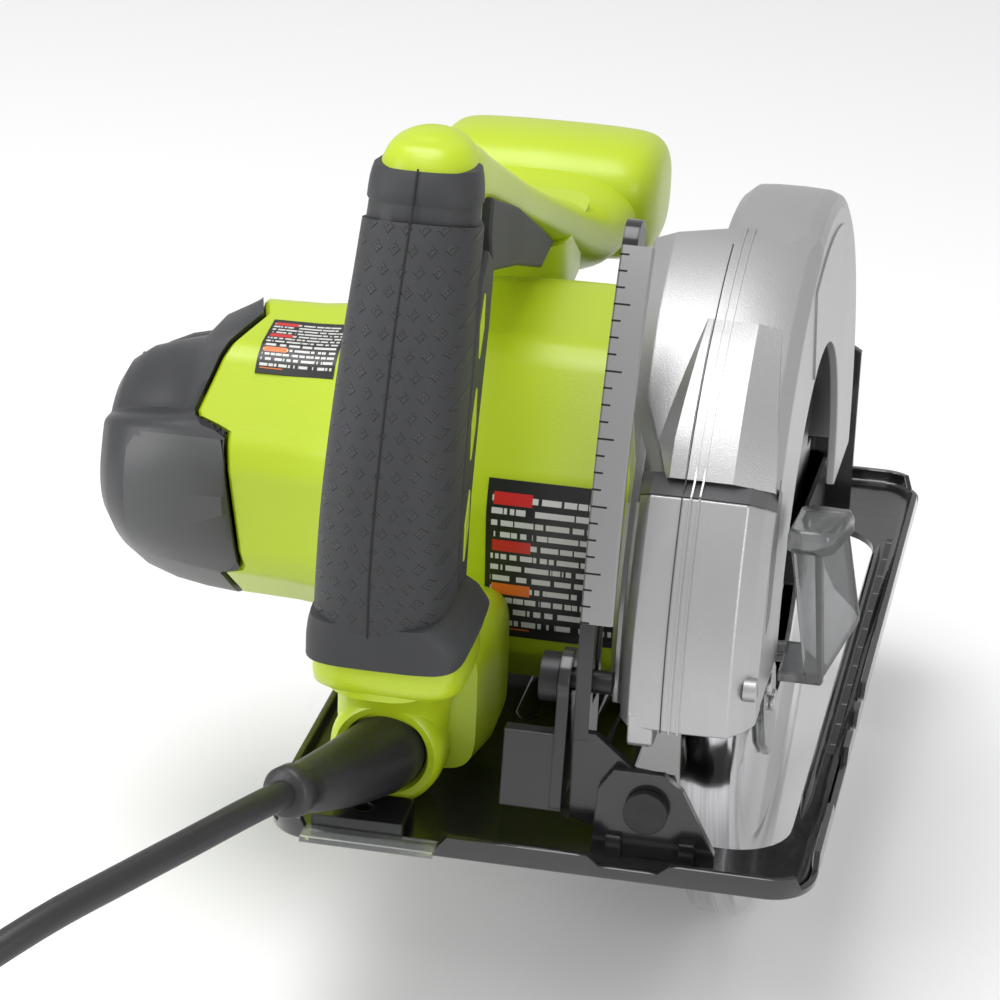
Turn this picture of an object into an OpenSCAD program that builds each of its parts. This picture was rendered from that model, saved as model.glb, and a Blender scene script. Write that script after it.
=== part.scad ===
// Corded circular saw with its blade on the right, shown at full depth with the lower guard closed.
// Frame: +X towards the blade side, +Y the cutting direction, +Z up.
// Origin: centre of the base plate's underside, the sole.

/* [Base plate] */
// Width of the base plate
base_w = 143; // [135:1:165]
// Length of the base plate
base_l = 275; // [265:1:320]
// Thickness of the base plate's floor
base_t = 2; // [1.5:0.1:3]
// Height of the turned-up rim above the sole
rim_h = 6; // [5:0.5:9]
// Width of the rail that is left beside the blade window
rail_w = 9.5; // [8:0.5:14]

/* [Blade] */
// Blade diameter
blade_d = 184; // [160:1:190]
// Thickness of the blade's plate
blade_t = 1.4; // [1:0.1:2]
// Number of teeth
tooth_count = 24; // [18:1:40]
// Blade bore
blade_bore_d = 15.88; // [15:0.01:20]
// Blade plane, measured from the base plate's centre line
blade_x = 40; // [38:0.5:41]
// Height of the output shaft above the sole at full depth
shaft_z = 37; // [35:0.5:40]

/* [Guards] */
// Gap between the tooth tips and the lower guard's rim
tip_gap = 6.8; // [5:0.1:9]
// Sheet thickness of the lower guard
lower_t = 1.2; // [1:0.1:2]
// Width of the lower guard along the shaft
lower_w = 14.4; // [12:0.1:15]
// Gap between the lower guard's rim and the upper guard's inside
guard_gap = 1.5; // [1:0.1:3]
// Wall of the upper guard casting
upper_t = 2.5; // [2:0.1:4]
// Angle that the lower guard turns back through
guard_travel = 110; // [60:5:115]

/* [Motor] */
// Outer radius of the motor housing beside the guard
housing_r = 55; // [52:0.5:57]
// Outer radius of the motor housing at the cap
cap_r = 40; // [38:0.5:44]
// Wall of the plastic housings
housing_t = 2.5; // [2:0.1:3.5]
// Height of the motor shaft above the output shaft
shaft_rise = 23; // [22:0.5:25]
// Teeth of the pinion on the motor shaft
pinion_teeth = 10; // [8:1:14]
// Teeth of the gear on the output shaft
gear_teeth = 45; // [40:1:50]
// Outer diameter of the two small ball bearings
small_bearing_d = 22; // [20:0.5:24]
// Outer diameter of the output bearing
output_bearing_d = 32; // [30:0.5:36]

/* [Handle] */
// Width of the D-shaped handle
handle_w = 34; // [30:0.5:40]
// Width of the front handle
front_handle_w = 68; // [60:1:76]
// Thickness of the rubber overmould
rubber_t = 2.5; // [2:0.1:4]

/* [Pivots] */
// Diameter of the bevel pivot pins
bevel_pin_d = 8; // [6:0.5:9]
// Diameter of the depth pivot pin
depth_pin_d = 7; // [6:0.5:8]
// Radial running clearance of pins and hubs
run_gap = 0.05; // [0.03:0.01:0.1]
// Gap between parts that slide past each other
slide_gap = 0.3; // [0.3:0.05:0.5]

/* [Cord] */
// Diameter of the power cord
cord_d = 7.5; // [6.5:0.1:8.5]

/* [Hidden] */
$fn = 64;

// Places of the shafts
shaft_y = -10;
motor_y = shaft_y - 15;
motor_z = shaft_z + shaft_rise;
gear_centres = norm([motor_y - shaft_y, motor_z - shaft_z]);
pivot_x = 27;
bevel_z = 16;
depth_y = 104;
depth_z = 24;

// Guards, along the shaft and by radius
blade_r = blade_d / 2;
lower_r = blade_r + tip_gap + lower_t;
lower_x0 = blade_x - 8.4;
lower_x1 = lower_x0 + lower_w;
upper_r0 = lower_r + guard_gap;
upper_r = upper_r0 + upper_t;
upper_x0 = blade_x - 15;
upper_x1 = blade_x + 11.5;
wide_x0 = blade_x - 26;
box_x0 = blade_x - 23;
box_x1 = blade_x + 9.5;
box_r = upper_r + 9;
hub_r = output_bearing_d / 2 + 8;
arch_r = 62;
wide_r = 76;
guard_a0 = -2;
guard_a1 = 180;
wide_a0 = 113;
box_a0 = 148;

// Base plate
window_x1 = base_w / 2 - rail_w;
window_x0 = pivot_x - 11;
window_y1 = shaft_y + 107;
window_y0 = shaft_y - 107;
base_corner = 12;
window_corner = 15;
rear_bracket_y = window_y0 - 10.5;
front_bracket_y = window_y1 + 18;
bracket_t = 2.5;
bridge_x0 = -59;
bridge_w = 24;
guide_bar_w = 10;
bridge_h = 4.7;
bridge_y = base_l / 2 - base_t - guide_bar_w / 2 - 2.5;

// Motor and gears
housing_x1 = blade_x - 28;
housing_x0 = -102;
cap_x0 = -142;
case_x0 = housing_x1 - 8;
gear_x0 = housing_x1 + 2;
gear_w = 8;
gear_m = 2 * gear_centres / (pinion_teeth + gear_teeth);
small_bearing_w = 7;
shaft_r = 4;
core_r = 24.5;
stator_r = 38.5;

// Handle
handle_x = -44;
grip_half = handle_w / 2;
front_half = front_handle_w / 2;
ring_y = -112;
ring_z = 17.5;
ring_r = 13.5;
trigger_pin = [-97, 147];

// Cord
boot_start = [-44.5, -121, 17.8];
boot_end = [-60, -160, 25];
coil_centre = [-109.3, -378];
coil_floor = -63;
coil_turns_across = 3;
coil_layers = 2;
coil_r0 = 31;
cord_route = [[-60, -160, 25], [-66, -178, 27.5], [-74, -197, 28.5], [-84, -217, 28.5],
    [-98, -242, 27], [-114, -266, 20], [-127, -287, 7], [-137, -306, -13], [-145, -323, -34],
    [-151, -339, -50.5], [-156, -356, -57.5], [-159, -378, -59.25]];

// ---------- shared shapes ----------

// A profile drawn in the Y-Z plane, extruded from x0 to x1.
module along_x(x0, x1) {
    translate([x0, 0, 0]) rotate([90, 0, 90]) linear_extrude(x1 - x0) children();
}

// A profile drawn in the X-Z plane, extruded from y0 to y1.
module along_y(y0, y1) {
    translate([0, y1, 0]) rotate([90, 0, 0]) linear_extrude(y1 - y0) children();
}

// A rod or a ring along X on the line at y, z.
module rod_x(r, x0, x1, y = 0, z = 0) {
    translate([x0, y, z]) rotate([0, 90, 0]) cylinder(h = x1 - x0, r = r);
}

module ring_x(r, bore, x0, x1, y = 0, z = 0) {
    difference() {
        rod_x(r, x0, x1, y, z);
        rod_x(bore, x0 - 1, x1 + 1, y, z);
    }
}

// A rod along Y on the line at x, z.
module rod_y(r, y0, y1, x = 0, z = 0) {
    translate([x, y1, z]) rotate([90, 0, 0]) cylinder(h = y1 - y0, r = r);
}

// A box between two opposite corners.
module block(a, b) {
    translate(a) cube(b - a);
}

function arc(r, a0, a1, steps = 32) = [for (i = [0:steps]) r * [
    cos(a0 + (a1 - a0) * i / steps), sin(a0 + (a1 - a0) * i / steps)]];

// A ring's sector in the Y-Z plane about a centre; 0 degrees points forwards.
module sector(r0, r1, a0, a1, centre = [shaft_y, shaft_z]) {
    translate(centre) intersection() {
        difference() {
            circle(r1);
            circle(r0);
        }
        polygon(concat([[0, 0]], arc(2 * r1, a0, a1, 8)));
    }
}

// A rectangle with round corners.
module soft_rect(x0, x1, y0, y1, r) {
    translate([x0 + r, y0]) square([x1 - x0 - 2 * r, y1 - y0]);
    translate([x0, y0 + r]) square([x1 - x0, y1 - y0 - 2 * r]);
    for (x = [x0 + r, x1 - r], y = [y0 + r, y1 - r]) translate([x, y]) circle(r);
}

// A gear about the X axis: stub teeth with straight flanks.
module gear_x(teeth, x0, x1, bore, turn = 0) {
    pitch_r = gear_m * teeth / 2;
    step = 360 / teeth;
    root = pitch_r - 0.85 * gear_m;
    tip = pitch_r + 0.6 * gear_m;
    along_x(x0, x1) difference() {
        rotate(turn) polygon([for (i = [0:teeth - 1]) for (p = [[root, -0.30], [tip, -0.11],
            [tip, 0.11], [root, 0.30]]) p[0] * [cos((i + p[1]) * step), sin((i + p[1]) * step)]]);
        circle(bore);
    }
}

// ---------- base plate and what is fixed to it ----------

module base_outline(inset = 0) {
    soft_rect(-base_w / 2 + inset, base_w / 2 - inset, -base_l / 2 + inset, base_l / 2 - inset,
        base_corner - inset);
}

module blade_window() {
    soft_rect(window_x0, window_x1, window_y0, window_y1, window_corner);
}

module base_plate() {
    color([0.03, 0.03, 0.035]) difference() {
        union() {
            linear_extrude(base_t) base_outline();
            difference() {
                linear_extrude(rim_h) base_outline();
                translate([0, 0, -1]) linear_extrude(rim_h + 2) base_outline(base_t);
            }
        }
        translate([0, 0, -1]) linear_extrude(rim_h + 2) blade_window();
        // notch in the rear rim below the bevel pivot
        block([window_x0, -base_l / 2 - 1, base_t + 1.5], [window_x0 + 18, -base_l / 2 + 3, rim_h + 1]);
        // relief in the side rim for the lower guard's lever when the saw is tilted
        block([base_w / 2 - 4, -92, base_t], [base_w / 2 + 1, -58, rim_h + 1]);
        for (y = [-45, -27]) block([base_w / 2 - 4, y, base_t + 2], [base_w / 2 + 1, y + 7, rim_h + 1]);
        // gaps in the rims where the rip guide's bar passes
        for (s = [-1, 1]) block([-base_w / 2 - 1, s * bridge_y - guide_bar_w / 2 - 1, base_t],
            [-base_w / 2 + 4, s * bridge_y + guide_bar_w / 2 + 1, rim_h + 1]);
        block([bridge_x0 - 2, -base_l / 2 - 1, base_t], [bridge_x0 + 36, -base_l / 2 + 4, rim_h + 1]);
        // square sight hole at the front of the rail
        block([base_w / 2 - 7.5, base_l / 2 - 20, -1], [base_w / 2 - 3.5, base_l / 2 - 15, base_t + 1]);
    }
}

module bevel_bracket_2d(width, height) {
    polygon([[pivot_x - 14, base_t], [pivot_x - 13, bevel_z + 4], [pivot_x - 9, bevel_z + height],
        [pivot_x + 4, bevel_z + height], [pivot_x + 9, bevel_z + height - 4],
        [pivot_x + width, base_t + 3], [pivot_x + width, base_t]]);
}

module rear_bevel_bracket() {
    color([0.03, 0.03, 0.035]) difference() {
        along_y(rear_bracket_y, rear_bracket_y + bracket_t) bevel_bracket_2d(18, 10);
        rod_y(bevel_pin_d / 2 + run_gap, rear_bracket_y - 1, rear_bracket_y + 4, pivot_x, bevel_z);
    }
}

// Quadrant plate with the curved slot that the bevel knob's bolt runs in.
quadrant_r = 36;
quadrant_slot_w = 6.6;

module front_bevel_bracket() {
    y0 = front_bracket_y;
    color([0.03, 0.03, 0.035]) difference() {
        along_y(y0, y0 + bracket_t) union() {
            intersection() {
                translate([pivot_x, bevel_z]) circle(quadrant_r + 8);
                translate([pivot_x - 40, base_t]) square([64, 70]);
            }
        }
        rod_y(bevel_pin_d / 2 + run_gap, y0 - 1, y0 + 4, pivot_x, bevel_z);
        along_y(y0 - 1, y0 + 4) translate([pivot_x, bevel_z]) {
            w = quadrant_slot_w / 2;
            sector(quadrant_r - w, quadrant_r + w, 82, 140, [0, 0]);
            for (a = [82, 140]) translate(quadrant_r * [cos(a), sin(a)]) circle(w);
        }
    }
}

module bracket_rivets() {
    color([0.12, 0.12, 0.13]) {
        for (x = [pivot_x - 8, pivot_x + 11]) {
            block([x - 2, rear_bracket_y - 1.6, base_t], [x + 2, rear_bracket_y, base_t + 6]);
            block([x - 2, front_bracket_y + bracket_t, base_t],
                [x + 2, front_bracket_y + bracket_t + 1.6, base_t + 6]);
        }
    }
}

// Raised loops that the rip guide's bar slides through.
module guide_bridges() {
    color([0.03, 0.03, 0.035]) for (s = [-1, 1]) difference() {
        block([bridge_x0, s * bridge_y - guide_bar_w / 2 - 2.5, base_t],
            [bridge_x0 + bridge_w, s * bridge_y + guide_bar_w / 2 + 2.5, base_t + bridge_h]);
        block([bridge_x0 - 1, s * bridge_y - guide_bar_w / 2, base_t - 1],
            [bridge_x0 + bridge_w + 1, s * bridge_y + guide_bar_w / 2, base_t + bridge_h - 1.7]);
        translate([bridge_x0 + bridge_w / 2, s * bridge_y, base_t]) cylinder(h = 10, r = 2.5 + run_gap);
    }
}

module guide_window() {
    color([0.25, 0.28, 0.3, 0.5]) block([bridge_x0 - 1.5, -base_l / 2 - 5, base_t],
        [bridge_x0 + 33.5, -base_l / 2 + base_t, base_t + 1.5]);
}

module guide_screw() {
    color([0.1, 0.1, 0.1]) translate([bridge_x0 + bridge_w / 2, bridge_y, 0]) {
        translate([0, 0, base_t + 1.6]) cylinder(h = 8, r = 2.5);
        translate([0, 0, base_t + bridge_h + slide_gap]) cylinder(h = 3, r = 5);
        translate([-9, -1.5, base_t + bridge_h + slide_gap + 3]) cube([18, 3, 9]);
    }
}

// ---------- the frame that tilts on the base plate ----------

tilt_y1 = front_bracket_y - slide_gap;
tilt_y0 = tilt_y1 - bracket_t;
lug_half = 5.5;

module front_pivot_plate() {
    color([0.03, 0.03, 0.035]) difference() {
        union() {
            along_y(tilt_y0, tilt_y1) polygon([[pivot_x - 36, bevel_z + 24], [pivot_x - 26, bevel_z + 30],
                [pivot_x - 6, bevel_z + 14], [pivot_x + 12, bevel_z + 14], [pivot_x + 12, bevel_z - 3],
                [pivot_x + 7, bevel_z - 9],                [pivot_x - 12, bevel_z - 9], [pivot_x - 14, bevel_z + 4]]);
            for (s = [-1, 1]) {
                x = pivot_x + s * (lug_half + slide_gap + 1.25);
                along_x(x - 1.25, x + 1.25) {
                    translate([depth_y, depth_z]) circle(8);
                    translate([depth_y, depth_z - 8]) square([tilt_y1 - depth_y, 14]);
                }
            }
        }
        rod_x(depth_pin_d / 2 + run_gap, pivot_x - 20, pivot_x + 20, depth_y, depth_z);
        rod_y(bevel_pin_d / 2 + run_gap, tilt_y0 - 1, tilt_y1 + 1, pivot_x, bevel_z);
        rod_y(3 + run_gap, tilt_y0 - 1, tilt_y1 + 1, knob_x, knob_z);
    }
}

knob_x = pivot_x + quadrant_r * cos(140);
knob_z = bevel_z + quadrant_r * sin(140);

// Curved bar centred on the depth pivot, joined to the rear bevel plate.
arm_x0 = housing_x1 - 5.5;
arm_x1 = arm_x0 + 4;
arm_r = 222;
arm_half = 7;
arm_a0 = 178;
depth_travel = 26;
bolt_a = 174.5;
arm_a1 = bolt_a - depth_travel - 3;
rear_tilt_y1 = rear_bracket_y + bracket_t + slide_gap + bracket_t;

module depth_arm() {
    color([0.03, 0.03, 0.035]) difference() {
        union() {
            along_x(arm_x0, arm_x1) translate([depth_y, depth_z]) difference() {
                union() {
                    sector(arm_r - arm_half, arm_r + arm_half, arm_a1, arm_a0, [0, 0]);
                    translate(arm_r * [cos(arm_a1), sin(arm_a1)]) circle(arm_half);
                }
                sector(arm_r - 3.3, arm_r + 3.3, bolt_a - depth_travel - 1.2, bolt_a + 1.2, [0, 0]);
            }
            along_x(arm_x0, arm_x1) polygon([[rear_tilt_y1 - bracket_t, bevel_z - 6],
                [rear_tilt_y1 - bracket_t, bevel_z + 18], [depth_y - arm_r + arm_half, bevel_z + 24],
                [depth_y - arm_r + arm_half, bevel_z + 4], [rear_tilt_y1 + 5, bevel_z - 6]]);
            along_y(rear_tilt_y1 - bracket_t, rear_tilt_y1) polygon([[arm_x0, bevel_z - 6],
                [arm_x0, bevel_z + 18], [arm_x0 + 6, bevel_z + 18], [pivot_x - 4, bevel_z + 9],
                [pivot_x + 6, bevel_z + 8], [pivot_x + 9, bevel_z], [pivot_x + 5, bevel_z - 8],
                [pivot_x - 8, bevel_z - 10]]);
        }
        rod_y(bevel_pin_d / 2 + run_gap, rear_tilt_y1 - 4, rear_tilt_y1 + 1, pivot_x, bevel_z);
    }
}

module bevel_pins() {
    color([0.15, 0.15, 0.16]) {
        rod_y(bevel_pin_d / 2, rear_bracket_y - slide_gap, rear_tilt_y1 + 1.5, pivot_x, bevel_z);
        rod_y(5.75, rear_bracket_y - slide_gap - 2.5, rear_bracket_y - slide_gap, pivot_x, bevel_z);
        rod_y(bevel_pin_d / 2, tilt_y0 - 0.1, front_bracket_y + bracket_t + slide_gap, pivot_x, bevel_z);
        rod_y(5.75, front_bracket_y + bracket_t + slide_gap,
            front_bracket_y + bracket_t + slide_gap + 2.5, pivot_x, bevel_z);
    }
}

module depth_pin() {
    reach = lug_half + slide_gap + 2.5;
    color([0.6, 0.6, 0.62]) {
        rod_x(depth_pin_d / 2, pivot_x - reach, pivot_x + reach + 1, depth_y, depth_z);
        rod_x(5.5, pivot_x - reach - 2.5, pivot_x - reach, depth_y, depth_z);
    }
}

// Knob on the bolt through the quadrant's slot.
module bevel_knob() {
    y0 = front_bracket_y + bracket_t + slide_gap;
    color([0.08, 0.08, 0.09]) {
        rod_y(3, tilt_y0 - 3, y0, knob_x, knob_z);
        rod_y(6, y0, y0 + 2, knob_x, knob_z);
        translate([knob_x, y0 + 2, knob_z]) rotate([-90, 0, 0]) difference() {
            cylinder(h = 13, r = 13);
            for (i = [0:8]) rotate(i * 40) translate([15.5, 0, -1]) cylinder(h = 20, r = 4);
        }
    }
}

// ---------- depth clamp ----------

bolt_y = depth_y + arm_r * cos(bolt_a);
bolt_z = depth_z + arm_r * sin(bolt_a);
lever_x1 = arm_x0 - slide_gap - 1.2;

module depth_lever() {
    color([0.03, 0.03, 0.035]) {
        difference() {
            union() {
                rod_x(8, lever_x1 - 3, lever_x1, bolt_y, bolt_z);
                along_x(lever_x1 - 3, lever_x1) polygon([[bolt_y - 7, bolt_z + 3], [bolt_y + 7, bolt_z - 2],
                    [bolt_y + 2, bolt_z - 20], [bolt_y - 7, bolt_z - 34], [bolt_y - 13, bolt_z - 31]]);
            }
            rod_x(3 + run_gap, lever_x1 - 5, lever_x1 + 1, bolt_y, bolt_z);
        }
        along_x(lever_x1 - 16, lever_x1) polygon([[bolt_y - 9, bolt_z - 12], [bolt_y - 5, bolt_z - 12],
            [bolt_y - 6, bolt_z - 26], [bolt_y - 9, bolt_z - 34], [bolt_y - 12.5, bolt_z - 32]]);
    }
}

module depth_bolt() {
    color([0.1, 0.1, 0.11]) {
        rod_x(3, lever_x1 - 3, wide_x0 + 1, bolt_y, bolt_z);
        rod_x(6.5, lever_x1 - 8.3, lever_x1 - 3 - slide_gap, bolt_y, bolt_z);
        rod_x(3, lever_x1 - 4, lever_x1 - 2, bolt_y, bolt_z);
    }
}

// ---------- upper guard ----------

case_y = shaft_y - 3;
case_z = shaft_z + 5;
case_r = 38;

module upper_guard() {
    color([0.72, 0.72, 0.73]) difference() {
        union() {
            // outer wall around the arch, band over the teeth, inner wall with the gear case's lid
            along_x(upper_x1 - upper_t, upper_x1) sector(arch_r, upper_r, guard_a0, guard_a1);
            along_x(upper_x0 + upper_t, upper_x1 - upper_t) sector(upper_r0, upper_r, guard_a0, guard_a1);
            along_x(upper_x0, upper_x0 + upper_t) {
                sector(hub_r - 4, upper_r, guard_a0, guard_a1);
                translate([case_y, case_z]) circle(case_r);
            }
            // wide part at the rear: band, left wall, front end and inner wall
            along_x(wide_x0, upper_x0) sector(upper_r0, upper_r, wide_a0, guard_a1);
            along_x(wide_x0, wide_x0 + upper_t) sector(wide_r, upper_r0 + 1, wide_a0, guard_a1);
            along_x(wide_x0 + upper_t, upper_x0) {
                sector(wide_r, upper_r0 + 1, wide_a0, wide_a0 + 1.5);
                sector(wide_r, wide_r + upper_t, wide_a0 + 1, guard_a1);
            }
            // rear box that stands proud of the band
            along_x(box_x0, box_x1) {
                sector(box_r - upper_t, box_r, box_a0, guard_a1);
                sector(upper_r - 1, box_r - 1, box_a0, box_a0 + 1.4);
            }
            for (x = [box_x0, box_x1 - upper_t]) along_x(x, x + upper_t)
                sector(upper_r - 1, box_r - 1, box_a0 + 1, guard_a1);
            // hub that carries the output bearing and the lower guard
            rod_x(hub_r, upper_x0 + 1, lower_x0 + 2.6, shaft_y, shaft_z);
            // lug for the depth pivot
            along_x(pivot_x - lug_half, pivot_x + lug_half) {
                translate([depth_y, depth_z]) circle(8);
                polygon([[depth_y - 7, depth_z - 2], [depth_y - 1, depth_z + 7.9],
                    [shaft_y + upper_r - 4, shaft_z + 22], [shaft_y + upper_r - 1, shaft_z]]);
            }
            // boss for the depth clamp's bolt
            rod_x(6, wide_x0 + 1, wide_x0 + 8, bolt_y, bolt_z);
        }
        rod_x(output_bearing_d / 2, upper_x0 - 1, lower_x0 + 1, shaft_y, shaft_z);
        rod_x(output_bearing_d / 2 - 3, upper_x0 - 1, lower_x0 + 6, shaft_y, shaft_z);
        rod_x(depth_pin_d / 2 + run_gap, pivot_x - 20, pivot_x + 20, depth_y, depth_z);
        rod_x(3, wide_x0 - 1, wide_x0 + 9, bolt_y, bolt_z);
    }
}

module guard_side_plate() {
    color([0.75, 0.75, 0.76]) along_x(upper_x1, upper_x1 + 0.6) sector(arch_r + 4, upper_r - 9, 68, 108);
}

module guard_screws() {
    color([0.5, 0.5, 0.52]) for (a = [60, 120, 180]) {
        y = case_y + (case_r - 5.5) * cos(a);
        z = case_z + (case_r - 5.5) * sin(a);
        rod_x(3.5, upper_x0 + upper_t, upper_x0 + upper_t + 1.6, y, z);
    }
}

// ---------- lower guard ----------

lower_a0 = 178;
lower_a1 = 356;
lever_stem_r = 61;

module lower_guard() {
    color([0.8, 0.8, 0.82]) difference() {
        union() {
            along_x(lower_x0, lower_x1) sector(lower_r - lower_t, lower_r, lower_a0, lower_a1);
            along_x(lower_x0, lower_x0 + lower_t) {
                sector(hub_r, lower_r, lower_a0, lower_a1);
                translate([shaft_y, shaft_z]) circle(hub_r + 3);
            }
            along_x(lower_x1 - lower_t, lower_x1) sector(40, lower_r, lower_a0, lower_a1);
            ring_x(hub_r + 3, hub_r + run_gap, lower_x0 - 2.5, lower_x0 + lower_t, shaft_y, shaft_z);
        }
        rod_x(hub_r + run_gap, lower_x0 - 4, lower_x0 + 3, shaft_y, shaft_z);
        for (p = lever_rivet_places) rod_x(2, lower_x1 - 3, lower_x1 + 1, p[0], p[1]);
    }
}

lever_rivet_places = [[shaft_y - 55, shaft_z - 12], [shaft_y - 44, shaft_z - 22]];
lever_foot_x1 = lower_x1 + 3;

module lower_guard_lever() {
    x0 = upper_x1 + 1.4;
    color([0.35, 0.35, 0.36, 0.6]) {
        difference() {
            along_x(lower_x1, lever_foot_x1) polygon([[-72, 38], [-64, 38], [-46, 22], [-36, -2],
                [-42, -8], [-60, 4], [-72, 20]]);
            for (p = lever_rivet_places) rod_x(2, lower_x1 - 1, lever_foot_x1 + 1, p[0], p[1]);
        }
        along_x(lower_x1, x0 + 3) polygon([[-71, 34], [-71, 37.8], [-63, 37.8], [-63, 34]]);
        along_x(x0, 65) polygon([[-84, 35], [-84, 38.5], [-63, 37.8], [-63, 34.5]]);
        hull() {
            along_x(60, 65) polygon([[-84, 35], [-84, 38], [-80, 38], [-80, 35]]);
            block([53.4, -84, 70], [56.4, -80, 74]);
        }
        hull() {
            along_x(63, 65) polygon([[-84, 35], [-84, 38], [-80, 38], [-80, 35]]);
            block([72, -72, 46], [74, -69, 50]);
            block([64, -84, 72], [66, -72, 74]);
            block([60, -84, 60], [61, -82, 62]);
        }
        hull() {
            block([52.9, -85, 73], [65, -80, 78]);
            block([54, -76, 75], [68, -66, 79.5]);
        }
    }
}

module lever_rivets() {
    color([0.6, 0.6, 0.6]) for (p = lever_rivet_places) {
        rod_x(1.95, lower_x1 - lower_t, lever_foot_x1, p[0], p[1]);
        rod_x(3, lever_foot_x1, lever_foot_x1 + 1, p[0], p[1]);
    }
}

module guard_ring() {
    x = lower_x0 + 2.6;
    color([0.5, 0.5, 0.52]) ring_x(hub_r + 2.4, output_bearing_d / 2 - 1, x, x + 0.9, shaft_y, shaft_z);
}

module guard_spring() {
    color([0.55, 0.55, 0.57]) translate([upper_x0 + upper_t + 0.2, shaft_y, shaft_z]) rotate([0, 90, 0])
        rotate_extrude() for (i = [0:1]) translate([hub_r + 4.6, 0.7 + i * 1.35]) circle(0.65, $fn = 16);
}

// ---------- blade and its shaft ----------

module blade() {
    step = 360 / tooth_count;
    gullet = blade_r - 9;
    color([0.75, 0.76, 0.78]) along_x(blade_x - blade_t / 2, blade_x + blade_t / 2)
        translate([shaft_y, shaft_z]) difference() {
            polygon([for (i = [0:tooth_count - 1]) for (p = [[gullet, 0.02], [gullet + 0.5, 0.2],
                [blade_r - 3.5, 0.5], [blade_r - 0.5, 0.82], [blade_r, 0.98]])
                p[0] * [cos((i + p[1]) * step), sin((i + p[1]) * step)]]);
            circle(blade_bore_d / 2);
        }
}

flange_r = 20;
flange_x0 = lower_x0 + 3.6;
flange_x2 = blade_x + blade_t / 2;
bolt_x0 = flange_x2 + 3;

module inner_flange() {
    color([0.45, 0.45, 0.47]) ring_x(flange_r, 6 + 0.02, flange_x0, blade_x - blade_t / 2, shaft_y, shaft_z);
}

module outer_flange() {
    color([0.5, 0.5, 0.52]) ring_x(flange_r, 4.05, flange_x2, bolt_x0, shaft_y, shaft_z);
}

module blade_bolt() {
    color([0.25, 0.25, 0.26]) {
        rod_x(4, blade_x - 6, bolt_x0, shaft_y, shaft_z);
        rod_x(9, bolt_x0, bolt_x0 + 1.5, shaft_y, shaft_z);
        translate([bolt_x0 + 1.5, shaft_y, shaft_z]) rotate([0, 90, 0]) cylinder(h = 5.5, r = 7.5, $fn = 6);
    }
}

module output_shaft() {
    color([0.6, 0.6, 0.62]) difference() {
        union() {
            rod_x(shaft_r, case_x0 + 2.5, gear_x0, shaft_y, shaft_z);
            rod_x(6, gear_x0, blade_x + 0.2, shaft_y, shaft_z);
            rod_x(blade_bore_d / 2 - 0.02, blade_x - blade_t / 2, blade_x + blade_t / 2, shaft_y, shaft_z);
        }
        rod_x(4, blade_x - 8, blade_x + 10, shaft_y, shaft_z);
    }
}

module drive_gear() {
    color([0.5, 0.5, 0.5]) translate([0, shaft_y, shaft_z]) gear_x(gear_teeth, gear_x0, gear_x0 + gear_w, 6,
        atan2(motor_z - shaft_z, motor_y - shaft_y));
}

module output_bearing() {
    color([0.6, 0.6, 0.65]) ring_x(output_bearing_d / 2, 6 + 0.02, upper_x0 - 0.5, lower_x0 + 0.5,
        shaft_y, shaft_z);
}

module inner_bearing() {
    color([0.6, 0.6, 0.65]) ring_x(small_bearing_d / 2, shaft_r + 0.02, case_x0 + 2, case_x0 + 2 + small_bearing_w,
        shaft_y, shaft_z);
}

module gear_case() {
    color([0.65, 0.65, 0.66]) difference() {
        union() {
            rod_x(housing_r - housing_t - 0.2, case_x0, housing_x1, motor_y, motor_z);
            rod_x(case_r, housing_x1, upper_x0, case_y, case_z);
        }
        rod_x(case_r - 3.5, housing_x1 + 1, upper_x0 + 1, case_y, case_z);
        for (p = [[shaft_y, shaft_z], [motor_y, motor_z]]) rod_x(small_bearing_d / 2, case_x0 + 2,
            housing_x1 + 2, p[0], p[1]);
        rod_x(shaft_r + 2, case_x0 - 1, case_x0 + 3, motor_y, motor_z);
        translate([(housing_x1 + upper_x0) / 2, case_y, case_z]) rotate([lock_a - 90, 0, 0])
            translate([0, 0, case_r - 8]) cylinder(h = 12, r = 3 + run_gap);
    }
}

// ---------- motor ----------

module armature_shaft() {
    color([0.6, 0.6, 0.62]) {
        rod_x(shaft_r, cap_x0 + 22, gear_x0, motor_y, motor_z);
        translate([0, motor_y, motor_z]) difference() {
            gear_x(pinion_teeth, gear_x0 - 1, gear_x0 + gear_w + 1, 0.01,
                atan2(shaft_z - motor_z, shaft_y - motor_y) + 180 / pinion_teeth);
        }
    }
}

core_x0 = -64;
core_x1 = -18;

module armature_core() {
    color([0.45, 0.3, 0.2]) difference() {
        union() {
            along_x(core_x0, core_x1) translate([motor_y, motor_z]) difference() {
                circle(core_r);
                for (i = [0:11]) rotate(i * 30) translate([core_r - 9, -1.5]) square([10, 3]);
            }
            rod_x(19, core_x0 - 9, core_x0, motor_y, motor_z);
            rod_x(19, core_x1, core_x1 + 7, motor_y, motor_z);
        }
        rod_x(shaft_r, core_x0 - 10, core_x1 + 8, motor_y, motor_z);
    }
}

commutator_x0 = -97;

module commutator() {
    color([0.75, 0.45, 0.25]) along_x(commutator_x0, commutator_x0 + 16) translate([motor_y, motor_z])
        difference() {
            circle(12);
            circle(shaft_r);
            for (i = [0:23]) rotate(i * 15) translate([10.5, -0.3]) square([2, 0.6]);
        }
}

fan_x0 = -9;

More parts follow.
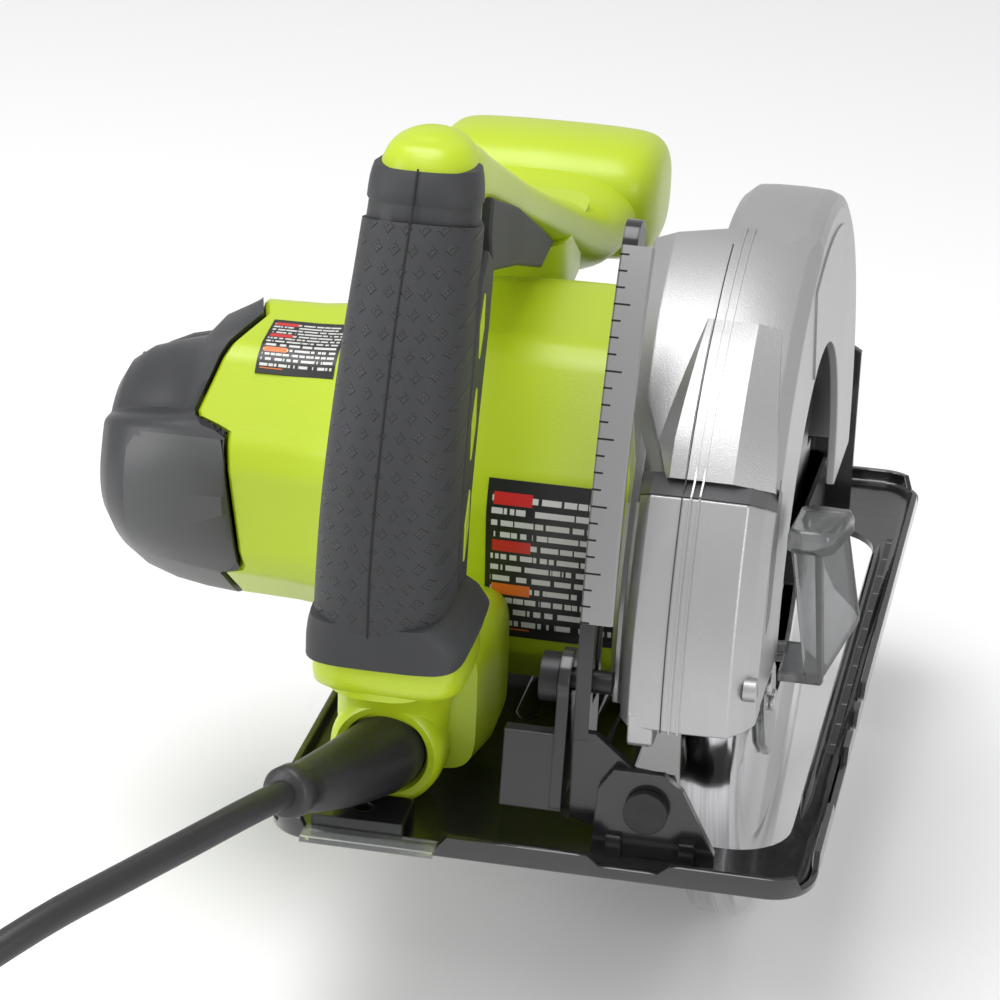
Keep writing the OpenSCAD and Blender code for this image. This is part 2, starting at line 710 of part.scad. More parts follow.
module cooling_fan() {
    color([0.15, 0.15, 0.15]) {
        ring_x(44, shaft_r, fan_x0 + 6, fan_x0 + 8, motor_y, motor_z);
        ring_x(10, shaft_r, fan_x0, fan_x0 + 8, motor_y, motor_z);
        translate([0, motor_y, motor_z]) for (i = [0:10]) rotate([i * 360 / 11, 0, 0])
            translate([fan_x0, 14, 0]) rotate([20, 0, 0]) cube([6.5, 27, 1.6]);
    }
}

module front_bearing() {
    color([0.6, 0.6, 0.65]) ring_x(small_bearing_d / 2, shaft_r + 0.02, case_x0 + 2,
        case_x0 + 2 + small_bearing_w, motor_y, motor_z);
}

rear_bearing_x = cap_x0 + 23;

module rear_bearing() {
    color([0.6, 0.6, 0.65]) ring_x(small_bearing_d / 2, shaft_r + 0.02, rear_bearing_x,
        rear_bearing_x + small_bearing_w, motor_y, motor_z);
}

module stator() {
    color([0.5, 0.35, 0.25]) {
        along_x(core_x0, core_x1) translate([motor_y, motor_z]) difference() {
            circle(stator_r);
            circle(core_r + 0.6);
            for (a = [0, 180]) rotate(a) intersection() {
                difference() {
                    circle(34);
                    circle(core_r + 0.5);
                }
                translate([0, -12]) square([60, 24]);
            }
        }
        for (x = [core_x0 - 8, core_x1]) ring_x(36, core_r + 3, x, x + 8, motor_y, motor_z);
    }
}

// Outer radius of the barrel along X, from the cap to the guard.
function barrel(inset) = [[housing_x0, cap_r + 1 - inset], [-72, cap_r + 1 - inset], [-46, housing_r - 2 - inset],
    [-20, housing_r - inset], [housing_x1, housing_r - inset]];

module barrel_solid(inset = 0, x0 = housing_x0, x1 = housing_x1) {
    pts = barrel(inset);
    translate([0, motor_y, motor_z]) rotate([0, 90, 0]) rotate_extrude($fn = 96)
        polygon(concat([[0, x0]], [[pts[0][1], x0]], [for (i = [1:3]) [pts[i][1], pts[i][0]]],
            [[pts[4][1], x1], [0, x1]]));
}

module motor_housing() {
    color([0.62, 0.78, 0.05]) difference() {
        union() {
            difference() {
                barrel_solid();
                barrel_solid(housing_t, housing_x0 - 1, housing_x1 + 1);
            }
            // ribs that hold the stator
            for (a = [45:90:315]) translate([0, motor_y, motor_z]) rotate([a, 0, 0])
                intersection() {
                    block([core_x0 + 4, -4, stator_r], [core_x1 - 4, 4, housing_r - 1]);
                    rotate([-a, 0, 0]) translate([0, -motor_y, -motor_z]) barrel_solid(1);
                }
        }
        // vent slots at the front, low down
        for (i = [0:5]) translate([-92 + i * 6, motor_y, motor_z]) rotate([-62, 0, 0])
            block([0, -3, 30], [3, 12, 60]);
    }
}

module motor_cap() {
    inner = cap_r - 3;
    color([0.2, 0.2, 0.22]) translate([0, motor_y, motor_z]) difference() {
        union() {
            difference() {
                rotate([0, 90, 0]) rotate_extrude($fn = 96) polygon([[0, cap_x0], [24, cap_x0], [30, cap_x0 + 3],
                    [33, cap_x0 + 8], [35, cap_x0 + 20], [cap_r, housing_x0 - 5], [cap_r, housing_x0],
                    [0, housing_x0]]);
                rotate([0, 90, 0]) rotate_extrude($fn = 96) polygon([[0, cap_x0 + 3], [22, cap_x0 + 3],
                    [27.5, cap_x0 + 5], [30, cap_x0 + 9], [32, cap_x0 + 20], [inner, housing_x0 - 5],
                    [inner, housing_x0 + 1], [0, housing_x0 + 1]]);
            }
            rod_x(small_bearing_d / 2 + 3, cap_x0 + 2, rear_bearing_x + small_bearing_w);
            for (a = [0:90:270]) rotate([a, 0, 0]) block([cap_x0 + 2, -1.5, 10], [rear_bearing_x + 6, 1.5, 31]);
        }
        rod_x(small_bearing_d / 2, rear_bearing_x, housing_x0 + 1);
        rod_x(shaft_r + 1, cap_x0 + 15, housing_x0);
        for (a = [-50:20:50]) rotate([a, 0, 0]) translate([cap_x0 + 22, 20, -2]) cube([10, 30, 4]);
        for (a = [-45, 135]) rotate([a, 0, 0]) translate([cap_x0 - 1, 0, 22]) rotate([0, 90, 0])
            cylinder(h = 10, r = 2.5);
    }
}

module cap_screws() {
    color([0.3, 0.3, 0.3]) translate([0, motor_y, motor_z]) for (a = [-45, 135]) rotate([a, 0, 0])
        translate([cap_x0 + 0.5, 0, 22]) rotate([0, 90, 0]) cylinder(h = 9, r = 2.5);
}

brush_x = commutator_x0 + 8;

module brush_holders() {
    color([0.7, 0.6, 0.3]) for (s = [0, 180]) translate([brush_x, motor_y, motor_z]) rotate([90 + s, 0, 0])
        difference() {
            block([-5.5, -6.5, 13.5], [5.5, 6.5, 36]);
            block([-3.5, -4.5, 12], [3.5, 4.5, 34]);
        }
}

module carbon_brushes() {
    color([0.1, 0.1, 0.1]) for (s = [0, 180]) translate([brush_x, motor_y, motor_z]) rotate([90 + s, 0, 0])
        block([-3.4, -4.4, 12.3], [3.4, 4.4, 25]);
}

module brush_springs() {
    color([0.6, 0.6, 0.6]) for (s = [0, 180]) translate([brush_x, motor_y, motor_z]) rotate([90 + s, 0, 0])
        translate([0, 0, 25]) rotate_extrude() for (i = [0:5]) translate([2.4, 0.8 + i * 1.48])
            circle(0.74, $fn = 16);
}

// ---------- handle ----------

module handle_2d() {
    difference() {
        polygon([[-144, 44], [-152, 54], [-155, 68], [-153, 88], [-146, 112], [-138, 134], [-127, 152],
            [-121, 166], [-116, 177], [-108, 182], [-96, 180], [12, 118], [30, 114], [46, 117],
            [60, 120], [60, 93], [44, 92], [25, 76], [-25, 60], [-66, 20], [-84, 10], [-112, 14],
            [-120, 30], [-132, 38]]);
        polygon([[-113, 74], [-108, 94], [-100, 114], [-90, 136], [-84, 147], [-48, 132], [-19, 122],
            [1, 111], [13, 92], [14, 80], [-60, 60], [-78, 62], [-104, 66]]);
    }
}

module front_handle_2d() {
    polygon([[46, 96], [46, 117], [60, 121], [74, 125], [90, 126], [104, 121], [112, 109], [110, 96],
        [100, 89], [80, 87], [60, 91]]);
}

// Half of a form, thinner in steps towards its side, starting at the parting plane.
module half_form(half, inset) {
    for (s = [[0.62, 0], [0.86, 1.5], [1, 5]]) along_x(0, half * s[0] - inset)
        offset(delta = -s[1] - inset) children();
}

module grip_zone() {
    along_x(-1, 40) polygon([[-170, 52], [-170, 176], [-122, 176], [-96, 166], [-84, 150], [-84, 130],
        [-96, 60]]);
}

module rubber_form() {
    intersection() {
        difference() {
            half_form(grip_half, 0) handle_2d();
            half_form(grip_half, rubber_t) handle_2d();
        }
        grip_zone();
    }
}

module neck_form() {
    intersection() {
        difference() {
            half_form(grip_half, 0) handle_2d();
            half_form(grip_half, 1.5) handle_2d();
        }
        along_x(5, 40) polygon([[-82, 172], [-18, 138], [-12, 112], [-46, 122], [-82, 138]]);
    }
}

handle_screw_places = [[-126, 50], [-114, 168], [-52, 141], [32, 102], [84, 106], [-76, 30]];

// Everything cut out of both halves, about the parting plane.
module handle_cuts() {
    along_x(-8.5, 8.5) polygon([[-138, 60], [-144, 78], [-138, 104], [-128, 132], [-118, 158],
        [-92, 156], [-89, 144], [-98, 136], [-108, 112], [-116, 92], [-120, 60]]);
    along_x(-6, 6) polygon([[-116, 104], [-94, 104], [-78, 146], [-90, 158], [-108, 158]]);
    rod_x(1.5 + run_gap, -9, 9, trigger_pin[0], trigger_pin[1]);
    rod_y(boot_r + 0.1, ring_y - 20, ring_y + 8, 0, ring_z);
    rod_y(cord_d / 2 + 0.5, ring_y, ring_y + 20, 0, ring_z);
    for (p = handle_screw_places) {
        rod_x(2 + run_gap, -9, 9.5, p[0], p[1]);
        rod_x(3.6, 9, 40, p[0], p[1]);
    }
}

module handle_half(side) {
    difference() {
        translate([handle_x, 0, 0]) difference() {
            mirror([side < 0 ? 1 : 0, 0, 0]) union() {
                difference() {
                    half_form(grip_half, 0) handle_2d();
                    rubber_form();
                }
                half_form(front_half, 0) front_handle_2d();
                intersection() {
                    rod_y(ring_r + 1.5, ring_y - 7, -80, 0, ring_z);
                    block([0, -130, 0], [20, -70, 40]);
                }
            }
            handle_cuts();
            if (side > 0) neck_form();
        }
        barrel_solid();
    }
}

module handle_left() {
    color([0.62, 0.78, 0.05]) handle_half(-1);
}

module handle_right() {
    color([0.62, 0.78, 0.05]) handle_half(1);
}

module grip_left() {
    color([0.2, 0.2, 0.21]) translate([handle_x, 0, 0]) difference() {
        mirror([1, 0, 0]) rubber_form();
        handle_cuts();
    }
}

module grip_right() {
    color([0.2, 0.2, 0.21]) translate([handle_x, 0, 0]) difference() {
        rubber_form();
        handle_cuts();
    }
}

module neck_pad() {
    color([0.2, 0.2, 0.21]) translate([handle_x, 0, 0]) difference() {
        neck_form();
        handle_cuts();
    }
}

module handle_screws() {
    color([0.3, 0.3, 0.3]) translate([handle_x, 0, 0]) for (p = handle_screw_places) {
        rod_x(2, -8.8, 9, p[0], p[1]);
        rod_x(3.4, 9, 11, p[0], p[1]);
    }
}

module switch_body() {
    color([0.1, 0.1, 0.1]) translate([handle_x, 0, 0]) along_x(-8.2, 8.2) polygon([[-137, 100],
        [-127, 130], [-112, 126], [-116.5, 100]]);
}

module trigger() {
    color([0.12, 0.12, 0.12]) translate([handle_x, 0, 0]) {
        along_x(-5.4, 5.4) polygon([[-102, 150], [-94, 152], [-86, 145], [-81, 138], [-85, 122],
            [-93, 109], [-98, 110], [-100, 130]]);
        rod_x(1.5, -8.6, 8.6, trigger_pin[0], trigger_pin[1]);
    }
}

module trigger_spring() {
    color([0.6, 0.6, 0.6]) translate([handle_x + 6.5, trigger_pin[0], trigger_pin[1]]) rotate([0, 90, 0])
        rotate_extrude() for (i = [0:1]) translate([2.8, i * 1.15]) circle(0.55, $fn = 16);
}

// ---------- spindle lock and labels ----------

lock_a = 40;

module spindle_lock() {
    color([0.1, 0.1, 0.1]) translate([(housing_x1 + upper_x0) / 2, case_y, case_z])
        rotate([lock_a - 90, 0, 0]) {
            translate([0, 0, case_r - 6]) cylinder(h = 11, r = 3);
            translate([0, 0, case_r + 3.6]) cylinder(h = 4, r = 5.5);
        }
}

module label_plates() {
    color([0.1, 0.1, 0.1]) {
        along_x(handle_x + grip_half + 0.5, 9) translate([motor_y, motor_z]) polygon(concat(arc(housing_r + 0.4, 150, 204),
            arc(housing_r + 0.03, 204, 150)));
        along_x(-98, -76) translate([motor_y, motor_z]) polygon(concat(arc(cap_r + 1.4, 98, 136),
            arc(cap_r + 1.03, 136, 98)));
    }
}

// ---------- power cord ----------

boot_r = 10.5;

// A cone frustum between two points.
module frustum(a, b, r0, r1) {
    d = b - a;
    translate(a) rotate([0, acos(d[2] / norm(d)), atan2(d[1], d[0])]) cylinder(h = norm(d), r1 = r0, r2 = r1);
}

module cord_boot() {
    color([0.06, 0.06, 0.07]) {
        rod_y(boot_r, ring_y - 11.5, ring_y + 6, handle_x, ring_z);
        frustum(boot_start, boot_end, boot_r - 0.3, cord_d / 2 + 1.6);
    }
}

module cord_clamp() {
    color([0.2, 0.2, 0.2]) translate([handle_x, 0, 0]) block([-8.5, -131, 62], [8.5, -124, 70]);
}

// Points on a smooth curve through the route, and the tube swept along them.
function smooth(p, i, t) = let (a = p[max(i - 1, 0)], b = p[i], c = p[i + 1], d = p[min(i + 2, len(p) - 1)])
    0.5 * (2 * b + (c - a) * t + (2 * a - 5 * b + 4 * c - d) * t * t + (3 * b - a - 3 * c + d) * t * t * t);
function curve(p) = concat([for (i = [0:len(p) - 2]) for (t = [0, 0.5]) smooth(p, i, t)], [p[len(p) - 1]]);
function unit(v) = v / norm(v);

module tube(p, r, sides = 10) {
    n = len(p);
    rings = [for (i = [0:n - 1]) let (
        d = unit(p[min(i + 1, n - 1)] - p[max(i - 1, 0)]), u = unit(cross(d, [0, 0, 1])), v = cross(u, d))
        for (k = [0:sides - 1]) p[i] + r * (u * cos(k * 360 / sides) + v * sin(k * 360 / sides))];
    sides_faces = [for (i = [0:n - 2]) for (k = [0:sides - 1]) let (m = (k + 1) % sides)
        [i * sides + k, i * sides + m, (i + 1) * sides + m, (i + 1) * sides + k]];
    ends = [[for (k = [sides - 1:-1:0]) k], [for (k = [0:sides - 1]) (n - 1) * sides + k]];
    polyhedron(rings, concat(sides_faces, ends));
}

module power_cord() {
    color([0.05, 0.05, 0.05]) tube(curve(cord_route), cord_d / 2);
}

module cord_coil() {
    color([0.05, 0.05, 0.05]) translate([coil_centre[0], coil_centre[1], coil_floor]) rotate_extrude()
        translate([coil_r0, 0]) square([coil_turns_across * cord_d, coil_layers * cord_d]);
}

plug_l = 34;
plug_place = [coil_centre[0] + 17.7, coil_centre[1] + 32, coil_floor + coil_layers * cord_d];

module power_plug() {
    translate(plug_place) rotate([0, 0, 180]) {
        color([0.05, 0.05, 0.05]) {
            frustum([0, 0, 4.5], [18.5, 0, 6.5], cord_d / 2, 5);
            block([18, -8, 1], [26, 8, 12]);
            block([26, -12, 0], [18 + plug_l, 12, 14]);
        }
        color([0.8, 0.75, 0.5]) for (s = [-1, 1])
            block([18 + plug_l, s * 6.35 - 0.8, 4], [35 + plug_l, s * 6.35 + 0.8, 10.4]);
    }
}

base_plate();
rear_bevel_bracket();
front_bevel_bracket();
bracket_rivets();
guide_bridges();
guide_window();
guide_screw();
front_pivot_plate();
depth_arm();
bevel_pins();
depth_pin();
bevel_knob();
depth_lever();
depth_bolt();
upper_guard();
guard_side_plate();
guard_screws();
lower_guard();
lower_guard_lever();
lever_rivets();
guard_ring();
guard_spring();
blade();
inner_flange();
outer_flange();
blade_bolt();
output_shaft();
drive_gear();
output_bearing();
inner_bearing();
gear_case();
armature_shaft();
armature_core();
commutator();
cooling_fan();
front_bearing();
rear_bearing();
stator();
motor_housing();
motor_cap();
cap_screws();
brush_holders();
carbon_brushes();
brush_springs();
handle_left();
handle_right();
grip_left();
grip_right();
neck_pad();
handle_screws();
switch_body();
trigger();
trigger_spring();
spindle_lock();
label_plates();
cord_boot();
cord_clamp();
power_cord();
cord_coil();
power_plug();
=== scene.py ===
"""A corded circular saw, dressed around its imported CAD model.

In metres, with +X to the blade side, +Y forwards and +Z up.
"""
from math import atan2, cos, hypot, pi, radians, sin

import bmesh
import bpy
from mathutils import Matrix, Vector


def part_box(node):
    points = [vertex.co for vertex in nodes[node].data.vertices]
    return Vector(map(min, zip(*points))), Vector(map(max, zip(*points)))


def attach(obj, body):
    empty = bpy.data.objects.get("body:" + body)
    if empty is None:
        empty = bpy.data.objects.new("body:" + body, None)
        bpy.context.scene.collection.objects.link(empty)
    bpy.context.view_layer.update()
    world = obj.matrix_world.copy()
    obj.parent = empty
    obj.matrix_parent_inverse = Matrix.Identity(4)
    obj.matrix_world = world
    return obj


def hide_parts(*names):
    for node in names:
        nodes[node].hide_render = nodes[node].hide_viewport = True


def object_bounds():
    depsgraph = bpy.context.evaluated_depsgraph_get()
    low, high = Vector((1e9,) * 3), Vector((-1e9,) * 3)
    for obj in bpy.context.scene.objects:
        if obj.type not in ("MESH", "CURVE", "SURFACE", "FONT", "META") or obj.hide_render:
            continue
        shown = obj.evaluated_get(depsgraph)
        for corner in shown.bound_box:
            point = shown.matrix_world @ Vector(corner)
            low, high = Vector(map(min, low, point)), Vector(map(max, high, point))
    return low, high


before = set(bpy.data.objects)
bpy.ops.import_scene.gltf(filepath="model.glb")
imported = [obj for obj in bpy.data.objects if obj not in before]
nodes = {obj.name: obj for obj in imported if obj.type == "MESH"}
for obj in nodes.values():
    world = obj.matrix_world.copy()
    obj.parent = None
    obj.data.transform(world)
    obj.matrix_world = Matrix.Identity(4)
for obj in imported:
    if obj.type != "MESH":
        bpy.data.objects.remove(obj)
cad_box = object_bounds()
MM = 0.001


# ---- The studio ----
# A pale sweep of board under three soft boxes: a large one overhead, one to the left and a narrow
# one to the right. The camera stands high behind the saw with a long lens.
camera = bpy.data.objects.new("studio_camera", bpy.data.cameras.new("studio_camera"))
camera.data.lens = 136.76
camera.data.sensor_width = 36
camera.data.clip_start = 0.01
camera.location = (0.148, -0.9783, 0.4737)
camera.rotation_euler = (radians(66.49), radians(-2.04), radians(11.68))
bpy.context.scene.collection.objects.link(camera)
bpy.context.scene.camera = camera
bpy.context.scene.view_settings.view_transform = "Standard"

world = bpy.data.worlds.new("studio_world")
world.use_nodes = True
world.node_tree.nodes["Background"].inputs["Color"].default_value = (1, 1, 1, 1)
world.node_tree.nodes["Background"].inputs["Strength"].default_value = 0.62
bpy.context.scene.world = world


def soft_box(name, place, target, size, watts):
    lamp = bpy.data.objects.new(name, bpy.data.lights.new(name, "AREA"))
    lamp.data.shape = "RECTANGLE"
    lamp.data.size, lamp.data.size_y = size
    lamp.data.energy = watts
    lamp.location = place
    lamp.rotation_euler = (Vector(target) - Vector(place)).to_track_quat("-Z", "Y").to_euler()
    bpy.context.scene.collection.objects.link(lamp)


soft_box("soft_box_top", (-0.25, -0.2, 1.3), (0, -0.05, 0.05), (1.0, 0.7), 11)
soft_box("soft_box_left", (-1.1, -0.7, 0.55), (0, -0.05, 0.08), (0.5, 0.9), 7)
soft_box("soft_box_right", (1.0, -0.9, 0.45), (0.02, -0.1, 0.05), (0.35, 0.9), 4.5)


class Tone:
    """One output in a material's node tree. Sums, products and powers of it add Math nodes."""

    def __init__(self, paint, socket):
        self.paint = paint
        self.socket = socket

    def _math(self, operation, a, b=0.0, c=0.0):
        return self.paint.add("ShaderNodeMath", {"operation": operation}, {0: a, 1: b, 2: c})

    def __add__(self, other):
        return self._math("ADD", self, other)

    __radd__ = __add__

    def __sub__(self, other):
        return self._math("SUBTRACT", self, other)

    def __rsub__(self, other):
        return self._math("SUBTRACT", other, self)

    def __mul__(self, other):
        return self._math("MULTIPLY", self, other)

    __rmul__ = __mul__

    def __truediv__(self, other):
        return self._math("DIVIDE", self, other)

    def __pow__(self, other):
        return self._math("POWER", self, other)

    def __lt__(self, other):
        return self._math("LESS_THAN", self, other)

    def __gt__(self, other):
        return self._math("GREATER_THAN", self, other)

    def part(self):
        """What is left of it after the decimal point."""
        return self._math("FRACT", self)

    def whole(self):
        return self._math("FLOOR", self)

    def size(self):
        return self._math("ABSOLUTE", self)

    def clipped(self, low, high):
        """0 up to low, 1 from high on, and a smooth rise between them."""
        return self.paint.add("ShaderNodeMapRange", {"interpolation_type": "SMOOTHSTEP"},
                              {"Value": self, "From Min": low, "From Max": high})


class Paint:
    """A material: a Principled shader, and the nodes that vary it over the surface."""

    def __init__(self, name, colour, rough, **shader):
        self.colour = colour
        self.material = bpy.data.materials.new(name)
        self.material.use_nodes = True
        self.material.diffuse_color = (*colour, 1)
        self.tree = self.material.node_tree
        self.shader = self.tree.nodes["Principled BSDF"]
        self.shader.inputs["Base Color"].default_value = (*colour, 1)
        self.shader.inputs["Roughness"].default_value = rough
        for socket, value in shader.items():
            self.shader.inputs[socket.replace("_", " ")].default_value = value
        self.place = self.add("ShaderNodeTexCoord", out="Object")
        self.bump = None

    def add(self, kind, settings=None, values=None, out=0):
        node = self.tree.nodes.new(kind)
        for key, value in (settings or {}).items():
            setattr(node, key, value)
        for key, value in (values or {}).items():
            if isinstance(value, Tone):
                self.tree.links.new(value.socket, node.inputs[key])
            else:
                node.inputs[key].default_value = value
        return Tone(self, node.outputs[out])

    def axis(self, name):
        """One coordinate of the place on the object, in metres."""
        return self.add("ShaderNodeSeparateXYZ", values={0: self.place}, out=name)

    def noise(self, scale, detail=2.0, stretch=None):
        where = self.place
        if stretch:
            where = self.add("ShaderNodeVectorMath", {"operation": "MULTIPLY"}, {0: where, 1: stretch})
        return self.add("ShaderNodeTexNoise", {}, {"Vector": where, "Scale": scale, "Detail": detail})

    def blend(self, factor, a, b):
        """A colour between a and b."""
        a, b = ((*c, 1) if isinstance(c, tuple) and len(c) == 3 else c for c in (a, b))
        return self.add("ShaderNodeMix", {"data_type": "RGBA"}, {0: factor, 6: a, 7: b}, out=2)

    def feed(self, socket, tone):
        self.tree.links.new(tone.socket, self.shader.inputs[socket])
        return self

    def relief(self, height, depth):
        """Raises the surface by height, from 0 to 1, times depth in metres."""
        values = {"Height": height, "Distance": depth, "Strength": 1.0}
        if self.bump:
            values["Normal"] = self.bump
        self.bump = self.add("ShaderNodeBump", {}, values)
        return self.feed("Normal", self.bump)

    def soft_edges(self, radius):
        """Rounds the look of sharp edges by radius."""
        self.bump = self.add("ShaderNodeBevel", {"samples": 4}, {"Radius": radius})
        return self.feed("Normal", self.bump)


def mottled(paint, spread, scale=60):
    """Lets a moulded or painted colour drift a little from place to place."""
    low = tuple(c * (1 - spread) for c in paint.colour)
    high = tuple(min(1, c * (1 + spread)) for c in paint.colour)
    paint.feed("Base Color", paint.blend(paint.noise(scale, 3), low, high))
    return paint


board = Paint("studio_board", (0.93, 0.93, 0.93), 0.9)
bpy.ops.mesh.primitive_grid_add(size=9, location=(0, 0, cad_box[0][2] - 0.0005))
floor = bpy.context.object
floor.name = "studio_floor"
floor.data.materials.append(board.material)


def wear(name, paint):
    """Gives a CAD piece one of the paints."""
    nodes[name].data.materials.clear()
    nodes[name].data.materials.append(paint.material)


# ---- The power cord ----
# Black sheathed two-core cord, 6 feet long. It leaves a tapered rubber strain relief, dips to the
# bench, and what is spare is wound in a flat round coil with the moulded plug lying on it.
CORD = 7.5 * MM
LEAD_R = 32 * MM
coil_low, coil_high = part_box("cord_coil")
coil_x = (coil_low.x + coil_high.x) / 2
coil_y = (coil_low.y + coil_high.y) / 2
coil_outer = (coil_high.x - coil_low.x) / 2 - CORD / 2
cord_route = [Vector(p) * MM for p in (
    (-60, -160, 25), (-66, -178, 27.5), (-74, -197, 28.5), (-84, -217, 28.5), (-98, -242, 27),
    (-114, -266, 20), (-127, -287, 7), (-137, -306, -13), (-145, -323, -34), (-151, -339, -50.5),
    (-156, -356, -57.5), (-159, -378, -59.25))]


def spline(points, steps):
    """Points of any number of values on a smooth curve through the given ones."""
    curve = []
    for i in range(len(points) - 1):
        a, b = points[max(i - 1, 0)], points[i]
        c, d = points[i + 1], points[min(i + 2, len(points) - 1)]
        for k in range(steps):
            t = k / steps
            curve.append(tuple(
                0.5 * (2 * q + (r - p) * t + (2 * p - 5 * q + 4 * r - s) * t ** 2
                       + (3 * q - p - 3 * r + s) * t ** 3)
                for p, q, r, s in zip(a, b, c, d)))
    return curve + [tuple(points[-1])]


def ease(t):
    t = min(max(t, 0.0), 1.0)
    return t * t * (3 - 2 * t)


def coil_points():
    """Three turns inwards on the bench, and two and a half outwards on top of them."""
    points = []
    for step in range(1, 166):
        turn = step / 30
        shift = sum(ease((turn - n + 0.2) / 0.2) * (-1 if n < 3 else 1) for n in (1, 2, 4, 5))
        radius = coil_outer + shift * CORD
        layer = ease((turn - 2.8) / 0.2)
        lift = ease((turn - 5.1) / 0.37)
        z = coil_low.z + CORD * (0.5 + layer) + 8 * MM * lift
        angle = pi + 2 * pi * turn
        points.append(Vector((coil_x + radius * cos(angle), coil_y + radius * sin(angle), z)))
    return points


plug_low, plug_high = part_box("power_plug")
plug_entry = Vector((plug_high.x, (plug_low.y + plug_high.y) / 2, plug_low.z + 4.5 * MM))
path = [Vector(p) for p in spline(cord_route, 4)] + coil_points()
for step in range(1, 13):
    angle = pi / 2 * step / 12
    path.append(Vector((coil_x + coil_outer - LEAD_R * (1 - cos(angle)),
                        coil_y + LEAD_R * sin(angle), path[-1].z)))
slip = plug_entry - path[-1]
for step in range(1, 13):
    path[-step] = path[-step] + slip * ease((13 - step) / 12)

sheath = mottled(Paint("cord_sheath", (0.02, 0.02, 0.022), 0.42), 0.2)
sheath.relief(sheath.noise(900, 2), 0.00006)
curve = bpy.data.curves.new("mains_cord", "CURVE")
curve.dimensions = "3D"
curve.bevel_depth = CORD / 2
curve.bevel_resolution = 4
curve.use_fill_caps = True
line = curve.splines.new("POLY")
line.points.add(len(path) - 1)
for point, where in zip(line.points, path):
    point.co = (*where, 1)
cord = bpy.data.objects.new("mains_cord", curve)
cord.data.materials.append(sheath.material)
bpy.context.scene.collection.objects.link(cord)
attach(cord, "saw_body")
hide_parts("power_cord", "cord_coil")


def mesh_piece(name, verts, faces, paint, body, slot, sharp=38, bevel=0.0):
    """A mesh from points in millimetres, smooth apart from edges over the sharp angle."""
    mesh = bpy.data.meshes.new(name)
    mesh.from_pydata([tuple(c * MM for c in v) for v in verts], [], faces)
    edit = bmesh.new()
    edit.from_mesh(mesh)
    bmesh.ops.remove_doubles(edit, verts=edit.verts, dist=1e-7)
    bmesh.ops.recalc_face_normals(edit, faces=edit.faces)
    for face in edit.faces:
        face.smooth = True
    for edge in edit.edges:
        if len(edge.link_faces) == 2 and edge.calc_face_angle(0) > radians(sharp):
            edge.smooth = False
    edit.to_mesh(mesh)
    edit.free()
    piece = bpy.data.objects.new(name, mesh)
    bpy.context.scene.collection.objects.link(piece)
    mesh.materials.append(paint.material)
    if bevel:
        rounding = piece.modifiers.new("rounded_edges", "BEVEL")
        rounding.width = bevel * MM
        rounding.segments = 2
        rounding.limit_method = "ANGLE"
        rounding.angle_limit = radians(sharp)
        rounding.harden_normals = True
    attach(piece, body)
    return piece


def loft(name, rings, paint, body, slot, closed_path=False, caps=True, **looks):
    """A skin over rings of equally many points, each in millimetres."""
    count = len(rings[0])
    verts = [p for ring in rings for p in ring]
    faces = []
    for i in range(len(rings) - (0 if closed_path else 1)):
        j = (i + 1) % len(rings)
        for k in range(count):
            m = (k + 1) % count
            faces.append((i * count + k, i * count + m, j * count + m, j * count + k))
    if caps and not closed_path:
        faces.append(tuple(range(count - 1, -1, -1)))
        faces.append(tuple((len(rings) - 1) * count + k for k in range(count)))
    return mesh_piece(name, verts, faces, paint, body, slot, **looks)


def oval(half_u, half_v, power=2.4, count=40):
    """A rounded rectangle or ellipse about the origin; a higher power is squarer."""
    points = []
    for k in range(count):
        c, s = cos(2 * pi * k / count), sin(2 * pi * k / count)
        points.append((half_u * abs(c) ** (2 / power) * (1 if c >= 0 else -1),
                       half_v * abs(s) ** (2 / power) * (1 if s >= 0 else -1)))
    return points


def tube_rings(stations, count=40):
    """Rings across a bar that runs in the Y-Z plane, from stations of
    (x, y, z, half width along x, half thickness across the bar, squareness)."""
    rings = []
    for i, (x, y, z, half_w, half_t, power) in enumerate(stations):
        before, after = stations[max(i - 1, 0)], stations[min(i + 1, len(stations) - 1)]
        dy, dz = after[1] - before[1], after[2] - before[2]
        size = hypot(dy, dz)
        out_y, out_z = -dz / size, dy / size
        rings.append([(x + u, y + v * out_y, z + v * out_z)
                      for u, v in oval(half_w, half_t, power, count)])
    return rings


def round_rings(stations, count=40):
    """Rings square to the line through stations of (x, y, z, radius)."""
    rings = []
    for i, (x, y, z, radius) in enumerate(stations):
        before, after = stations[max(i - 1, 0)], stations[min(i + 1, len(stations) - 1)]
        along = Vector([b - a for a, b in zip(before[:3], after[:3])]).normalized()
        side = along.cross(Vector((0, 0, 1))).normalized()
        up = side.cross(along)
        rings.append([tuple(Vector((x, y, z)) + side * u + up * v)
                      for u, v in oval(radius, radius, 2, count)])
    return rings


boot = loft("strain_relief", round_rings([
    (-43.9, -108, 17.5, 7), (-44, -110, 17.5, 9.9), (-44, -112, 17.5, 10.4), (-44.1, -117, 17.6, 10.5),
    (-45.3, -121.5, 17.9, 10.3), (-47.8, -128, 18.6, 9.7), (-51, -137, 20, 8.8), (-54.1, -145, 21.6, 7.8),
    (-56.8, -151.5, 23, 6.8), (-58.2, -155, 24, 6.2), (-58.5, -155.6, 24.1, 6.9), (-60.1, -159.6, 24.8, 6.7),
    (-60.4, -160.4, 25, 5.9), (-60.6, -161, 25.1, 3.5)]), sheath, "saw_body", "cord_rubber", sharp=60)
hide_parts("cord_boot")

